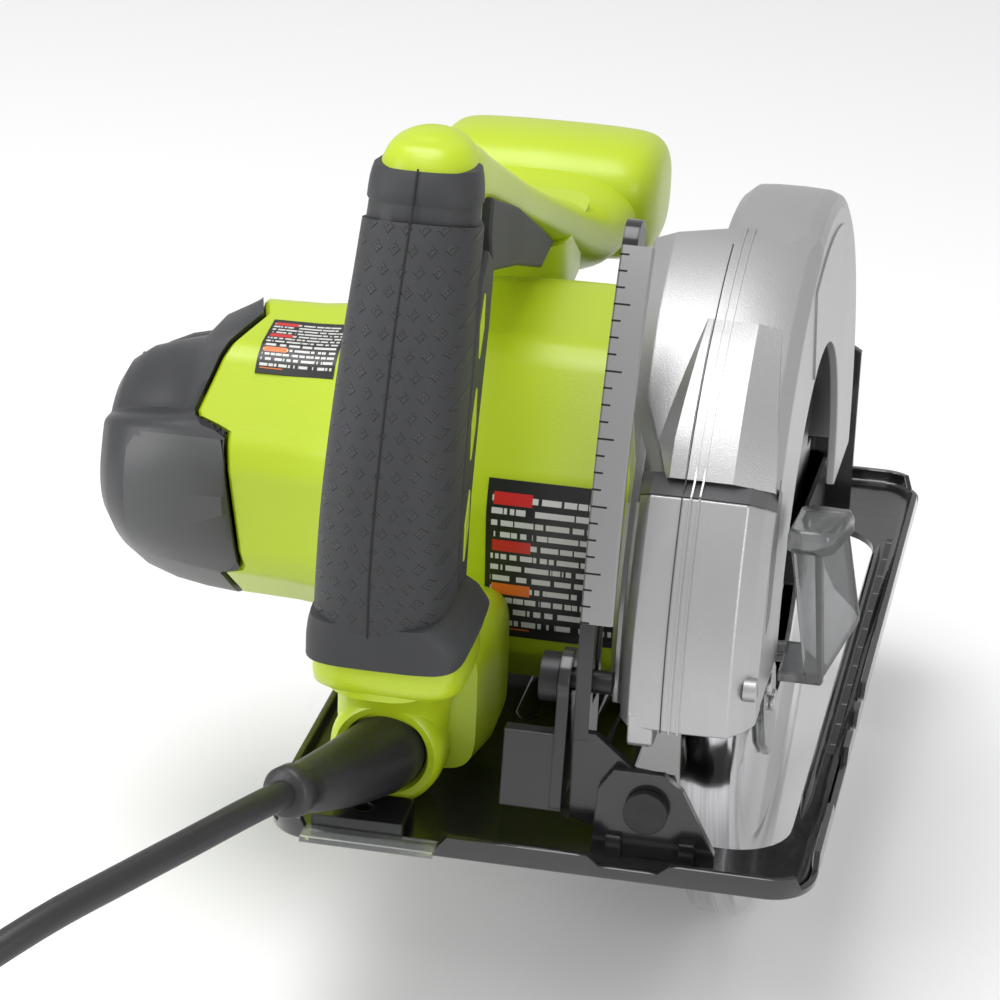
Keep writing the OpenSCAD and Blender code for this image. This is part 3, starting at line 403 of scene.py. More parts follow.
pin_metal = Paint("pin_brass", (0.78, 0.62, 0.34), 0.3, Metallic=1.0)
pin_metal.feed("Roughness", pin_metal.noise(300, 2) * 0.2 + 0.2)
px, py, pz = (c / MM for c in plug_entry)
plug_rings = []
for x, half_y, half_z, dz in spline([
        (0, 3.9, 3.9, 0), (6, 4.3, 4.3, 0.4), (12, 4.8, 4.8, 1), (18, 5.6, 5.2, 1.8),
        (20, 8, 5.6, 2), (25, 8.6, 6, 2.4), (28, 11.4, 6.9, 2.5), (34, 12, 7, 2.5),
        (48, 12, 7, 2.5), (51.5, 11.4, 6.6, 2.5)], 3):
    plug_rings.append([(px - x, py + u, pz + dz + v) for u, v in oval(half_y, half_z, 3.2, 32)])
plug = loft("mains_plug", plug_rings, sheath, "saw_body", "cord_rubber", sharp=50)
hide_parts("power_plug")
for side in (-1, 1):
    rings = [[(px - x, py + side * 6.35 + u, pz + 2.7 + v) for u, v in oval(0.75, h, 5, 20)]
             for x, h in ((50, 3.2), (66, 3.2), (68.5, 2.4))]
    loft(f"plug_pin_{'left' if side < 0 else 'right'}", rings, pin_metal,
                       "saw_body", "brass_fittings", sharp=30)


# ---- The motor housing ----
# A lime-green moulded barrel of glass-filled nylon around the motor, with soft flats along it, fine
# spark texture from the mould, and a printed label on the flat that faces the user.
LIME = (0.44, 0.57, 0.012)
lime = mottled(Paint("lime_nylon", LIME, 0.34, Coat_Weight=0.15, Coat_Roughness=0.25), 0.05, 18)
lime.relief(lime.noise(1400, 2), 0.00003)
moulding = (lime, "saw_body", "lime_plastic")
motor_y, motor_z = -25, 60
FLATS = [185, 140, 97, 53, 9, -35, -80, -127]


def facet_share(angle):
    """Distance from the motor axis to a many-sided barrel, as a share of its full radius."""
    nearest = min(abs((angle - flat + 180) % 360 - 180) for flat in FLATS)
    return min(1.0, cos(radians(17.5)) / max(cos(radians(min(nearest, 22.5))), 0.1))


BARREL = spline([(-118, 40.2), (-100, 41.2), (-80, 41.8), (-66, 44.5), (-52, 51), (-42, 53.8),
                 (-20, 55), (12, 55)], 4)


def barrel_radius(x):
    for (x0, r0), (x1, r1) in zip(BARREL, BARREL[1:]):
        if x <= x1:
            return r0 + (r1 - r0) * max(0, (x - x0) / (x1 - x0))
    return BARREL[-1][1]


def barrel_point(x, angle, lift=0.0):
    radius = (barrel_radius(x) + 0.4) * facet_share(angle) + lift
    return (x, motor_y + radius * cos(radians(angle)), motor_z + radius * sin(radians(angle)))


CAP_EDGE = [(-180, -101), (-148, -98.5), (-144, -105), (-110, -105), (-60, -104), (-35, -98.5), (-5, -101),
            (28, -103), (33, -113), (60, -108), (90, -102), (120, -108), (147, -113), (152, -103),
            (180, -101)]


def cap_edge(angle):
    """Where the cap ends and the barrel begins, along X."""
    angle = (angle + 180) % 360 - 180
    for (a0, x0), (a1, x1) in zip(CAP_EDGE, CAP_EDGE[1:]):
        if angle <= a1:
            return x0 + (x1 - x0) * (angle - a0) / (a1 - a0)
    return CAP_EDGE[-1][1]


ROUND = [k * 2.5 - 180 for k in range(144)]
barrel_stops = [0, 0.01, 0.15, 0.3, 0.4, 0.5, 0.6, 0.7, 0.85, 0.99, 1]
rings = []
for stop in barrel_stops:
    rings.append([barrel_point(cap_edge(a) + 0.5 + (11.4 - cap_edge(a)) * stop, a,
                               -1.2 if stop in (0, 1) else 0) for a in ROUND])
housing = loft("motor_barrel", rings, *moulding, sharp=32)
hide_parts("motor_housing")

print_black = Paint("label_print", (0.012, 0.012, 0.013), 0.3)
uv = print_black.add("ShaderNodeUVMap", {"uv_map": "label"})
u = print_black.add("ShaderNodeSeparateXYZ", values={0: uv}, out="X")
v = print_black.add("ShaderNodeSeparateXYZ", values={0: uv}, out="Y")
row = (v * 14).whole()
in_row = ((v * 14).part() - 0.5).size() < 0.24
words = print_black.add("ShaderNodeTexNoise", {"noise_dimensions": "2D"}, {
    "Vector": print_black.add("ShaderNodeCombineXYZ", values={0: u * 26, 1: row * 7.3, 2: 0.0}),
    "Scale": 1.0, "Detail": 1.0}) > 0.42
inside = ((u - 0.5).size() < 0.46) * ((v - 0.5).size() < 0.44)
block = ((row / 4).part() < 0.1) * (u < 0.34) * (u > 0.05)
ink = in_row * words * inside * (1 - block)
plain = print_black.blend(ink, (0.012, 0.012, 0.013), (0.62, 0.62, 0.62))
swatch = print_black.blend(v > 0.5, (0.72, 0.16, 0.02), (0.55, 0.02, 0.02))
print_black.feed("Base Color", print_black.blend(block * inside, plain, swatch))


def label(name, x0, x1, a0, a1, lift, paint):
    """A thin printed plate that follows the barrel from angle a0 to a1."""
    columns, rows = 10, 24
    verts, faces, corners = [], [], []
    for i in range(rows + 1):
        for k in range(columns + 1):
            verts.append(barrel_point(x0 + (x1 - x0) * k / columns,
                                      a0 + (a1 - a0) * i / rows, lift))
    size = len(verts)
    verts += [(x, motor_y + (y - motor_y) * 0.99, motor_z + (z - motor_z) * 0.99) for x, y, z in verts]
    for i in range(rows):
        for k in range(columns):
            a = i * (columns + 1) + k
            faces.append((a, a + 1, a + columns + 2, a + columns + 1))
            faces.append(tuple(size + c for c in reversed(faces[-1])))
    wide = columns + 1
    edge = [*range(wide), *range(wide + columns, rows * wide + wide, wide),
            *range(rows * wide + columns - 1, rows * wide - 1, -1), *range((rows - 1) * wide, 0, -wide)]
    for a, b in zip(edge, edge[1:] + edge[:1]):
        faces.append((a, size + a, size + b, b))
    piece = mesh_piece(name, verts, faces, paint, "saw_body", "label", sharp=60)
    layer = piece.data.uv_layers.new(name="label")
    for loop in piece.data.loops:
        x, y, z = (c / MM for c in piece.data.vertices[loop.vertex_index].co)
        angle = atan2(z - motor_z, y - motor_y) * 180 / pi % 360
        layer.data[loop.index].uv = ((x - x0) / (x1 - x0), 1 - (angle - a0) / (a1 - a0))
    return piece


big_label = label("rating_label", -27, 9, 158, 207, 0.5, print_black)
label("service_label", -98, -76, 96, 128, 0.5, print_black)
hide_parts("label_plates")


# ---- The motor cap ----
# The dark grey end bell over the brushes: its sides bulge, and a hollow runs over its top.
# A smoother panel is let into the side that faces the user.
CAP = (0.034, 0.035, 0.038)
cap_grey = mottled(Paint("cap_nylon", CAP, 0.38), 0.12, 25)
cap_grey.relief(cap_grey.noise(1100, 2), 0.00004)
CAP_SIDE = [(-143, 0), (-143, 14), (-142.4, 22), (-140.6, 28), (-137, 33.2), (-131, 37.2), (-123, 39.8),
            (-114, 41.2), (-104, 42.0), (-96, 42.3)]
CAP_TOP = [(-143, 0), (-143, 12), (-142.2, 17), (-139.5, 21), (-134, 25), (-126, 27.6), (-119, 29.4),
           (-114, 33.5), (-108, 38.5), (-101, 40.6)]


def cap_point(i, angle, lift=0.0):
    t = abs((angle - 92 + 180) % 360 - 180)
    top = 1 - ease((t - 47) / 14)
    (xs, rs), (xt, rt) = CAP_SIDE[i], CAP_TOP[i]
    x, radius = xs + (xt - xs) * top, rs + (rt - rs) * top
    square = 1 + 0.045 * cos(radians(4 * (angle - 185)))
    radius = radius * (square if i > 2 else 1) + lift
    edge = cap_edge(angle) - 0.2
    x = x if i < 8 else x + (edge - x) * (i - 7) / 2
    x = min(x, edge)
    if i > 6:
        on_barrel = barrel_point(x, angle, 0.35 + lift)
        radius += (hypot(on_barrel[1] - motor_y, on_barrel[2] - motor_z) - radius) * (i - 6) / 3
    return (x, motor_y + radius * cos(radians(angle)), motor_z + radius * sin(radians(angle)))


rings = [[cap_point(i, a) for a in ROUND] for i in range(1, len(CAP_SIDE))]
cap = loft("motor_cap_shell", rings, cap_grey, "saw_body", "dark_plastic", sharp=40)
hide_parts("motor_cap")

panel_grey = mottled(Paint("cap_panel", (0.07, 0.071, 0.074), 0.42), 0.06, 25)
panel_grey.relief(panel_grey.noise(1500, 2), 0.00003)
panel_rings = []
for k in range(9):
    a = 156 + (214 - 156) * k / 8
    pinch = 2.2 if k in (0, 8) else 0
    ring = []
    for i, f in ((5, pinch), (6, 0), (7, 0), (8, 0), (9, pinch)):
        x, y, z = cap_point(i, a, 0.55)
        ring.append((x + f * (1 if i == 5 else -0.4), y, z))
    ring += [(x, motor_y + (y - motor_y) * 0.96, motor_z + (z - motor_z) * 0.96)
             for x, y, z in reversed(ring)]
    panel_rings.append(ring)
loft("motor_cap_panel", panel_rings, panel_grey, "saw_body", "dark_plastic", sharp=35, bevel=0.4)


# ---- The rear handle ----
# A D-shaped grip moulded in two lime halves, with soft rubber moulded over its back. It carries the
# trigger, runs forwards as a spine to the front handle, and ends at the cord's collar below.
GRIP = [(-41.8, -125, 50, 16.5, 20, 3.0), (-41.8, -128, 62, 16.3, 20.5, 3.0),
        (-41.6, -129, 78, 16, 20.5, 2.8), (-41.4, -127, 94, 15.8, 20.2, 2.8),
        (-41.2, -121.5, 112, 15.4, 20, 2.8), (-41, -113.5, 132, 14.8, 19.6, 2.8),
        (-40.8, -106, 150, 14.2, 17.5, 2.7), (-40.6, -101.5, 163, 13.8, 15, 2.6),
        (-40.5, -99, 172, 13.2, 13.4, 2.5), (-40.5, -98, 178.5, 10.5, 10.2, 2.4),
        (-40.5, -98, 181.3, 5, 5, 2.2)]
grip_line = spline(GRIP, 4)
core = loft("handle_grip_core", tube_rings([
    (x, y + 1.2, z, w - 0.6, t - 0.6, p) for x, y, z, w, t, p in grip_line]), *moulding, sharp=50)
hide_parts("handle_left", "handle_right")

loft("handle_spine", tube_rings(spline([
    (-40.5, -103, 175, 8, 4, 2.4), (-40.5, -100, 173.5, 11.5, 7, 2.8), (-40.5, -92, 169.5, 13, 8.4, 3),
    (-40.5, -76, 162.5, 13, 7.2, 3.2), (-40.5, -52, 151.5, 13.4, 6.8, 3.2), (-41, -28, 140.5, 14.4, 6.6, 3.2),
    (-41.5, -6, 130.5, 16, 6.8, 3.2), (-42, 14, 121, 18.5, 8, 3), (-42.5, 34, 111, 22, 10, 2.8),
    (-43, 54, 104, 26, 12, 2.4), (-43, 72, 105, 30, 14, 2.3)], 4)), *moulding, sharp=50)

front_rings = []
for x, y, z, half_y, half_z in spline([
        (-77.6, 86, 106, 6, 5), (-77, 86, 106, 14, 11), (-74.5, 87, 106, 19.5, 15.5),
        (-70, 88, 106, 22, 17.6), (-60, 88, 106, 22.6, 18.4), (-44, 87, 106, 23, 19),
        (-28, 88, 106, 22.8, 18.6), (-17, 88.5, 106, 22, 17.8), (-12, 89, 106, 19.5, 15.5),
        (-9.4, 89.5, 106, 14, 11), (-8.8, 89.5, 106, 6, 5)], 3):
    front_rings.append([(x, y + u, z + v) for u, v in oval(half_y, half_z, 2.5, 40)])
loft("front_handle", front_rings, *moulding, sharp=60)

column_rings = []
for z, y, half_y, x0, x1 in ((118, 26, 26, -60, -23.5), (108, 24, 26, -60, -23), (100, 22, 24, -60, -24.5),
                             (93, 18, 24, -59, -27), (84, 12, 26, -58, -29), (70, 2, 26, -58, -30)):
    column_rings.append([((x0 + x1) / 2 + u, y + v, z) for u, v in oval((x1 - x0) / 2, half_y, 5, 40)])
loft("handle_column", column_rings, *moulding, sharp=50)

foot_rings = []
for x, y, z, half_x, half_y, power in spline([
        (-39.5, -127, 60, 18.5, 21, 4), (-39.5, -127, 55, 19.2, 21.5, 4.5),
        (-39.5, -126, 49, 19.4, 20.5, 4.5), (-40, -121, 44.5, 18.2, 17, 4),
        (-41.5, -114.5, 40, 16.4, 13, 3.5), (-43, -110, 33, 15.2, 10, 3),
        (-44, -108, 24, 14.8, 8.5, 2.6), (-44, -107.5, 17, 14.4, 8, 2.6)], 2):
    foot_rings.append([(x + u, y + v, z) for u, v in oval(half_x, half_y, power, 40)])
loft("handle_foot", foot_rings, *moulding, sharp=50)

block_rings = []
for y, x0, x1, z0, z1 in ((-108, -56, -22, 10, 48), (-98, -57, -18.5, 12, 50), (-84, -57, -18.5, 13, 50),
                          (-66, -57, -22, 14, 50), (-54, -57, -24, 16, 50)):
    block_rings.append([((x0 + x1) / 2 + u, y, (z0 + z1) / 2 + v)
                        for u, v in oval((x1 - x0) / 2, (z1 - z0) / 2, 5, 40)])
loft("handle_block", block_rings, *moulding, sharp=40)

collar_rings = []
for k in range(48):
    a = 2 * pi * k / 48
    ring = []
    for r, y in ((10.7, -101), (10.7, -116.2), (11.6, -118), (13.4, -118.6), (14.8, -117.4),
                 (15.4, -114), (15.4, -101)):
        ring.append((-44 + r * cos(a), y, 17.5 + r * sin(a)))
    collar_rings.append(ring)
loft("cord_collar", collar_rings, *moulding, closed_path=True, sharp=45)


# ---- The rubber overmould ----
# Soft black rubber moulded over the grip: smooth at the top and the foot, with rows of small raised
# crosses between, a parting line down its middle, and a side panel with lime-green windows.
RUBBER = (0.027, 0.028, 0.03)
SLEEVE_SHIFT = -2.2


def rubber_paint(name, crosses):
    paint = mottled(Paint(name, RUBBER, 0.6, Sheen_Weight=0.04), 0.18, 45)
    paint.relief(paint.noise(1800, 3), 0.00005)
    if crosses:
        pitch = 4.6 * MM
        x, z = paint.axis("X") / pitch, paint.axis("Z") / pitch
        odd = (z.whole() / 2).part() * 1.0
        a, b = ((x + odd).part() - 0.5).size(), (z.part() - 0.5).size()
        arm = 1 - ((a * b) * 26 + (a * a + b * b) * 7.5).clipped(0.55, 1.0)
        dimple = 1 - (a * a + b * b).clipped(0.004, 0.012)
        paint.relief(arm - dimple * 0.6, 0.0007)
        paint.feed("Roughness", arm * -0.12 + 0.66)
    return paint


smooth_rubber = rubber_paint("smooth_rubber", False)
cross_rubber = rubber_paint("cross_rubber", True)


def grip_sleeve(name, z0, z1, lift, paint, shift=SLEEVE_SHIFT):
    """A sleeve of rubber over the back of the grip between two heights."""
    chosen = [s for s in grip_line if z0 - 0.01 <= s[2] <= z1 + 0.01]
    stations = [(x, y + shift, z, w + lift, t + lift + shift * 0.4, p) for x, y, z, w, t, p in chosen]
    for (x, y, z, w, t, p), step, at in ((chosen[0], -0.5, 0), (chosen[-1], 0.5, len(stations) + 1)):
        stations.insert(at, (x, y + shift, z + step, w + lift - 1.2, t + lift - 2.4, p))
    return loft(name, tube_rings(stations, 56), paint, "saw_body", "rubber_grip", sharp=40)


sleeve = grip_sleeve("grip_crosses", 62, 161, 0.9, cross_rubber)
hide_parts("grip_left", "grip_right")
grip_sleeve("grip_crown", 164, 175, 0.6, smooth_rubber, shift=-2.4)
grip_sleeve("grip_groove", 158, 168, 0.0, smooth_rubber)

ledge_rings = []
for z, x0, x1, half_y in ((57.4, -58, -22, 21), (58, -59.6, -19, 22), (63, -59.6, -17.6, 22),
                          (66.5, -59.2, -20, 21.6), (69, -58.6, -24, 21)):
    ledge_rings.append([((x0 + x1) / 2 + u, -130 + v, z)
                        for u, v in oval((x1 - x0) / 2, half_y, 5, 40)])
loft("grip_ledge", ledge_rings, smooth_rubber, "saw_body", "rubber_grip", sharp=40)


def side_plate(name, outline, x0, x1, paint, body, slot, bevel=0.5, sharp=38):
    """A flat plate cut to an outline of (y, z) points."""
    count = len(outline)
    verts = [(x0, y, z) for y, z in outline] + [(x1, y, z) for y, z in outline]
    faces = [tuple(range(count)), tuple(range(2 * count - 1, count - 1, -1))]
    faces += [(k, (k + 1) % count, count + (k + 1) % count, count + k) for k in range(count)]
    return mesh_piece(name, verts, faces, paint, body, slot, sharp=sharp, bevel=bevel)


side_plate("grip_side_panel", [
    (-124, 68), (-112, 68), (-109, 90), (-103, 108), (-94, 130), (-90, 146), (-98, 152), (-106, 146),
    (-112, 130), (-119, 108), (-124, 88)], -30, -24.9, smooth_rubber, "saw_body", "rubber_grip", bevel=1.2)
wedge = side_plate("neck_wedge", [
    (-86, 161.5), (-88, 152), (-84, 141), (-76, 138.5), (-48, 130), (-14, 117.5), (4, 119), (-18, 131),
    (-50, 147)], -36, -26.6, smooth_rubber, "saw_body", "rubber_grip", bevel=0.9)
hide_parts("neck_pad")
for k, (y, z, h) in enumerate(((-106, 134, 8), (-112.5, 110, 9), (-117, 84, 9))):
    side_plate(f"panel_window_{k + 1}", [(y - 1.5, z - h), (y + 3, z - 1), (y + 3.5, z + h), (y - 1, z + 1)],
               -26, -24.5, *moulding, bevel=0.2)
parting = [s for s in grip_line if 62 <= s[2] <= 175]
groove_black = Paint("parting_line", (0.01, 0.01, 0.01), 0.8)
rings = []
for i, (x, y, z, w, t, p) in enumerate(parting):
    before, after = parting[max(i - 1, 0)], parting[min(i + 1, len(parting) - 1)]
    dy, dz = after[1] - before[1], after[2] - before[2]
    size = hypot(dy, dz)
    reach = t + 0.9 + SLEEVE_SHIFT * 0.4
    cy, cz = y + SLEEVE_SHIFT - dz / size * reach, z + dy / size * reach
    rings.append([(x + 0.28 * cos(a), cy + 0.28 * sin(a), cz)
                  for a in (2 * pi * k / 8 for k in range(8))])
loft("grip_parting", rings, groove_black, "saw_body", "rubber_grip", sharp=80)


# ---- The upper guard ----
# A die casting in fine silver paint: a deep U over the blade that widens behind the arbor, with a
# raised rib and a shoulder above the proud box down its back, and a fine joint line between them.
shaft_y, shaft_z = -10, 37
SILVER = (0.43, 0.43, 0.435)
silver = mottled(Paint("silver_casting", SILVER, 0.4, Metallic=0.72), 0.06, 40)
silver.relief(silver.noise(2600, 2), 0.00006)
silver.feed("Roughness", silver.noise(2200, 1) * 0.16 + 0.3)
casting = (silver, "saw_body", "cast_alloy")


def arc_point(x, radius, angle, y=shaft_y, z=shaft_z):
    return (x, y + radius * cos(radians(angle)), z + radius * sin(radians(angle)))


def mixed(a, b, t):
    return [(xa + (xb - xa) * t, ra + (rb - ra) * t) for (xa, ra), (xb, rb) in zip(a, b)]


def arc_sweep(name, keys, step, paint, body, slot, **looks):
    """A section of (x, radius) points swept about the arbor, blended between the given angles."""
    rings = []
    for (a0, s0), (a1, s1) in zip(keys, keys[1:]):
        count = max(1, round(abs(a1 - a0) / step))
        for k in range(count):
            angle = a0 + (a1 - a0) * k / count
            rings.append([arc_point(x, r, angle) for x, r in mixed(s0, s1, k / count)])
    rings.append([arc_point(x, r, keys[-1][0]) for x, r in keys[-1][1]])
    return loft(name, rings, paint, body, slot, **looks)


NARROW = [(25, 62), (25, 98), (25.4, 101.5), (28, 103.8), (33, 104.2), (40, 104.3), (47, 104),
          (50.2, 102.8), (51.5, 99.5), (51.5, 62), (49, 62), (49, 99), (46.5, 101.3), (30, 101.3),
          (27.5, 99), (27.5, 62)]
WIDE_TOP = [(14, 76), (14, 98), (14.4, 101.5), (17, 104), (28, 104.8), (34, 104.8), (43, 104.2),
            (48.5, 102.4), (51.5, 98), (51.5, 62), (49, 62), (49, 97), (46, 100.5), (24, 101.5),
            (16.5, 97), (16.5, 76)]
WIDE = [(14, 76), (14, 94), (15.5, 98), (22.5, 104), (28, 104.8), (34, 104.8), (42, 104.2), (47.5, 101.8),
        (51.5, 96), (51.5, 62), (49, 62), (49, 95), (45.5, 100), (24, 101.5), (16.5, 94), (16.5, 76)]


def flared(section, left):
    """The same section with its left edge drawn out to another x."""
    return [(20 - (20 - x) * (20 - left) / 6, max(r, 88)) if x < 20 else (x, r) for x, r in section]


band = arc_sweep("guard_band", [
    (-2, NARROW), (99.5, NARROW), (102.5, flared(WIDE_TOP, 6)), (120, flared(WIDE_TOP, 7.5)),
    (135, flared(WIDE_TOP, 10)), (146, flared(WIDE, 12)), (165, WIDE), (180, WIDE)], 2.5, *casting,
    sharp=15, bevel=0.5)
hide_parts("upper_guard")
FLUSH = [(17, 101.4), (17, 103.4), (20, 104.2), (33, 105), (45, 104.2), (49.5, 101.6), (51.6, 97),
         (51.6, 94), (49.2, 94), (49, 101.4)]
PROUD = [(17, 101.4), (17.2, 107.5), (20, 112.2), (33, 113), (45.5, 112.4), (49.3, 108), (51.6, 103),
         (51.6, 94), (49.2, 94), (49, 101.4)]
arc_sweep("guard_box", [(145.6, FLUSH), (149.4, PROUD), (180.5, PROUD)], 2, *casting,
          sharp=15, bevel=0.6)
# The shoulder ramp is painted a darker grey than the casting: painted shade, since the ramp faces down and
# back away from the lamps.
painted_shade_shoulder = mottled(Paint("shoulder_painted_shade", (0.13, 0.13, 0.135), 0.42, Metallic=0.6), 0.06, 40)


def skinned(section):
    """The same section, a little proud of itself on its outer faces."""
    return [(x + (0.12 if x > 49 else -0.12 if x < 18 else 0), r + 0.2 if r > 101.5 else r)
            for x, r in section]


arc_sweep("guard_shoulder", [(145.5, skinned(FLUSH)), (149.2, skinned(PROUD))], 1, painted_shade_shoulder,
          "saw_body", "cast_alloy", sharp=15)
rib_start = [(26.6, 103), (26.7, 104.9), (26.9, 105.1), (28.2, 105.1), (28.3, 103)]
rib_wide = [(19, 101), (19.8, 106.2), (24.2, 109.2), (28.2, 109.2), (28.3, 103)]
rib_end = [(22.6, 101), (23, 106.4), (24.2, 109.4), (28.2, 109.4), (28.3, 103)]
arc_sweep("guard_rib", [(121, rib_start), (141, rib_wide), (146.6, rib_end)], 2, *casting, sharp=15)
crest_start = [(28.2, 103), (28.3, 104.9), (40, 104.9), (46, 103.4), (46.2, 102)]
crest_end = [(28.2, 103), (28.3, 109.4), (40.5, 109.2), (50.8, 103.4), (51, 101.6)]
arc_sweep("guard_crest", [(121, crest_start), (146.6, crest_end)], 2, *casting, sharp=15)


def crest_line(name, x0, x1, start, tops, paint):
    """A fine line along the guard, over its crest and down the middle of its box."""
    low, crest, high = [[(x0, foot), (x0, top), (x1, top), (x1, foot)]
                        for foot, top in zip((104, 106, 112), tops)]
    arc_sweep(name, [(start, low), (121, low), (146.6, crest), (149.4, high), (180.6, high)], 2, paint,
              "saw_body", "cast_alloy", sharp=30)


joint_shadow = Paint("joint_shadow", (0.05, 0.05, 0.05), 0.7)
crest_line("guard_joint", 28.4, 28.7, 105, (104.95, 109.55, 113.05), joint_shadow)
crest_line("guard_seam_1", 30.6, 31.1, 100, (105.1, 109.6, 113.3), silver)
crest_line("guard_seam_2", 32.8, 33.3, 100, (105.1, 109.6, 113.3), silver)
side_plate("guard_tab", [(-122.4, 40), (-113, 40), (-113, 31.5), (-114, 30.4), (-121, 30.4),
                         (-122.2, 31.5)], 20, 26.6, *casting, bevel=0.6)
case_y, case_z = -13, 42
wall = [arc_point(0, 101.4, -2 + 182 * k / 60)[1:] for k in range(61)]
wall += [arc_point(0, 38, 180 + 180 * k / 40, case_y, case_z)[1:] for k in range(41)]
side_plate("guard_wall", wall, 25.02, 27.48, *casting, bevel=0.4)
left_wall = [arc_point(0, 101.5, 113 + 67 * k / 30)[1:] for k in range(31)]
left_wall += [arc_point(0, 76, 180 - 67 * k / 30)[1:] for k in range(31)]
side_plate("guard_left_wall", left_wall, 14.02, 16.48, *casting, bevel=0.4)
hub_section = [(27, 16), (27, 23.9), (33.6, 23.9), (34.2, 23.3), (34.2, 16)]
rings = [[arc_point(x, r, 360 * k / 64) for x, r in hub_section] for k in range(64)]
loft("guard_hub", rings, *casting, closed_path=True, sharp=35)
lug = [arc_point(0, 8, a, 104, 24)[1:] for a in range(-120, 61, 12)]
side_plate("guard_lug", lug + [(78, 66), (86, 38), (90, 30)], 21.6, 32.4, *casting, bevel=0.8)
boss_rings = [[(x, -116.5 + r * cos(a), 48 + r * sin(a)) for a in (2 * pi * k / 24 for k in range(24))]
              for x, r in ((48.6, 3.2), (51.7, 3.1), (52.1, 2.6), (52.1, 1.7), (51.2, 1.6))]
loft("guard_screw_boss", boss_rings, *casting, sharp=40)

edge_strip = [(12.4, 96), (12.6, 98), (17.6, 104.2), (18.6, 104.2), (18.6, 103), (13.6, 96)]
arc_sweep("guard_left_edge", [(150, edge_strip), (179.6, edge_strip)], 2, *casting, sharp=30)
# A thin dark grey sheet on the guard's right face: painted shade standing for the shadow in a recess there.
painted_shade_recess = mottled(Paint("recess_painted_shade", (0.2, 0.2, 0.205), 0.45, Metallic=0.6), 0.08, 40)
side_plate("guard_side_recess", [(-92, 96), (-103, 80), (-104, 58), (-98, 60), (-90, 84)], 51.45, 51.75,
           painted_shade_recess, "saw_body", "cast_alloy", bevel=0.1)


# ---- The lower guard and its lever ----
# Plated sheet steel pressed to a U with a stiffening groove in its outer face. It turns back about
# the arbor. The lever riveted to it is moulded in smoky clear plastic, hollow behind.
PLATED = (0.78, 0.78, 0.8)
plated = Paint("plated_steel", PLATED, 0.14, Metallic=1.0)
plated.feed("Base Color", plated.blend(plated.noise(900, 2, (1, 0.02, 0.02)),
                                       (0.22, 0.22, 0.23), (0.8, 0.8, 0.82)))
plated.feed("Roughness", plated.noise(120, 3, (1, 6, 1)) * 0.12 + 0.08)


def lower_section(groove):
    """Across the pressing, with its groove from 0 (none) to 1 (full depth)."""
    g = 1.1 * groove
    return [(31.6, 40), (31.6, 96), (32.2, 98.6), (34.2, 99.8), (38.8, 100), (43.4, 99.8), (45.4, 98.6),
            (46, 96), (46, 90), (46 - g, 88.4), (46 - g, 78), (46, 76), (46, 40), (44.8, 40), (44.8, 75),
            (44.8 - g, 77.2), (44.8 - g, 89), (44.8, 91), (44.8, 95.6), (43.8, 97.8), (42, 98.7),
            (35.6, 98.7), (33.8, 97.8), (32.8, 95.6), (32.8, 40)]


lower = arc_sweep("lower_guard_shell", [
    (178, lower_section(0)), (196, lower_section(0)), (200, lower_section(1)), (336, lower_section(1)),
    (340, lower_section(0)), (356, lower_section(0))], 2.5, plated, "lower_guard", "polished_steel", sharp=40)
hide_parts("lower_guard")
hub = [(29.1, 24.1), (29.1, 27), (31.6, 27), (31.6, 41), (32.8, 41), (32.8, 24.1)]
loft("lower_guard_hub", [[arc_point(x, r, 5 * k) for x, r in hub] for k in range(72)], plated, "lower_guard",
     "polished_steel", closed_path=True, sharp=35)

SMOKE = (0.34, 0.345, 0.35)
smoke = Paint("smoky_acetate", SMOKE, 0.1, Transmission_Weight=0.82, IOR=1.47)
smoke.relief(smoke.noise(140, 2), 0.00008)
foot = side_plate("lever_foot", [(-71.5, 37.6), (-64, 37.6), (-46, 22), (-37, 0), (-37.6, -5), (-41.6, -7.4),
                                 (-46, -6), (-60, 4), (-71, 20)], 46.1, 48.8, smoke, "lower_guard",
                  "smoky_plastic", bevel=0.8)
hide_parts("lower_guard_lever")


def slab(name, corners, offset, paint, body, slot, bevel=0.6):
    """A plate through four or more corners, thickened by an offset vector."""
    count = len(corners)
    verts = list(corners) + [tuple(c + o for c, o in zip(p, offset)) for p in corners]
    faces = [tuple(range(count)), tuple(range(2 * count - 1, count - 1, -1))]
    faces += [(k, (k + 1) % count, count + (k + 1) % count, count + k) for k in range(count)]
    return mesh_piece(name, verts, faces, paint, body, slot, bevel=bevel)


for name, corners, offset, bevel in (
        ("lever_stem", [(48.8, -71, 34.3), (54, -71, 34.8), (54, -63.4, 34.8), (48.8, -63.4, 34.3)],
         (0, 0, 3.2), 0.6),
        ("lever_arm", [(53.2, -83.8, 35.2), (65, -83.8, 35.2), (64.6, -76, 35.2), (57, -63.4, 34.9),
                       (53.2, -63.4, 34.9)], (0, 0, 3), 0.6),
        ("lever_near_web", [(54.2, -83.6, 73.5), (62.6, -83.8, 73.5), (65.2, -84, 35.4), (60.4, -84, 35.4)],
         (0.3, 2.4, 0), 0.9),
        ("lever_right_web", [(62, -83.4, 73.5), (67.6, -67.5, 75), (72.8, -69.4, 49), (65, -83.6, 36.4)],
         (-1.7, 0.7, 0), 0.7),
        ("lever_far_web", [(56.2, -67.4, 75), (67.4, -67.2, 75), (72.4, -69.2, 50), (63.5, -68.2, 57)],
         (0.2, -1.8, 0.1), 0.7)):
    slab(name, corners, offset, smoke, "lower_guard", "smoky_plastic", bevel=bevel)
cap_rings = []
for z, shrink in ((72.6, 0.9), (73.2, 0.0), (77.2, 0.0), (78.6, 0.9), (79, 2.2)):
    outline = [(53.2, -84), (57, -85), (63, -85), (65.6, -83.4), (69, -69), (68, -66.4), (57, -66),
               (54.6, -68)]
    mid_x, mid_y = 61, -76
    cap_rings.append([(x + (mid_x - x) * shrink / 12, y + (mid_y - y) * shrink / 12, z + (y + 85) * 0.03)
                      for x, y in outline])
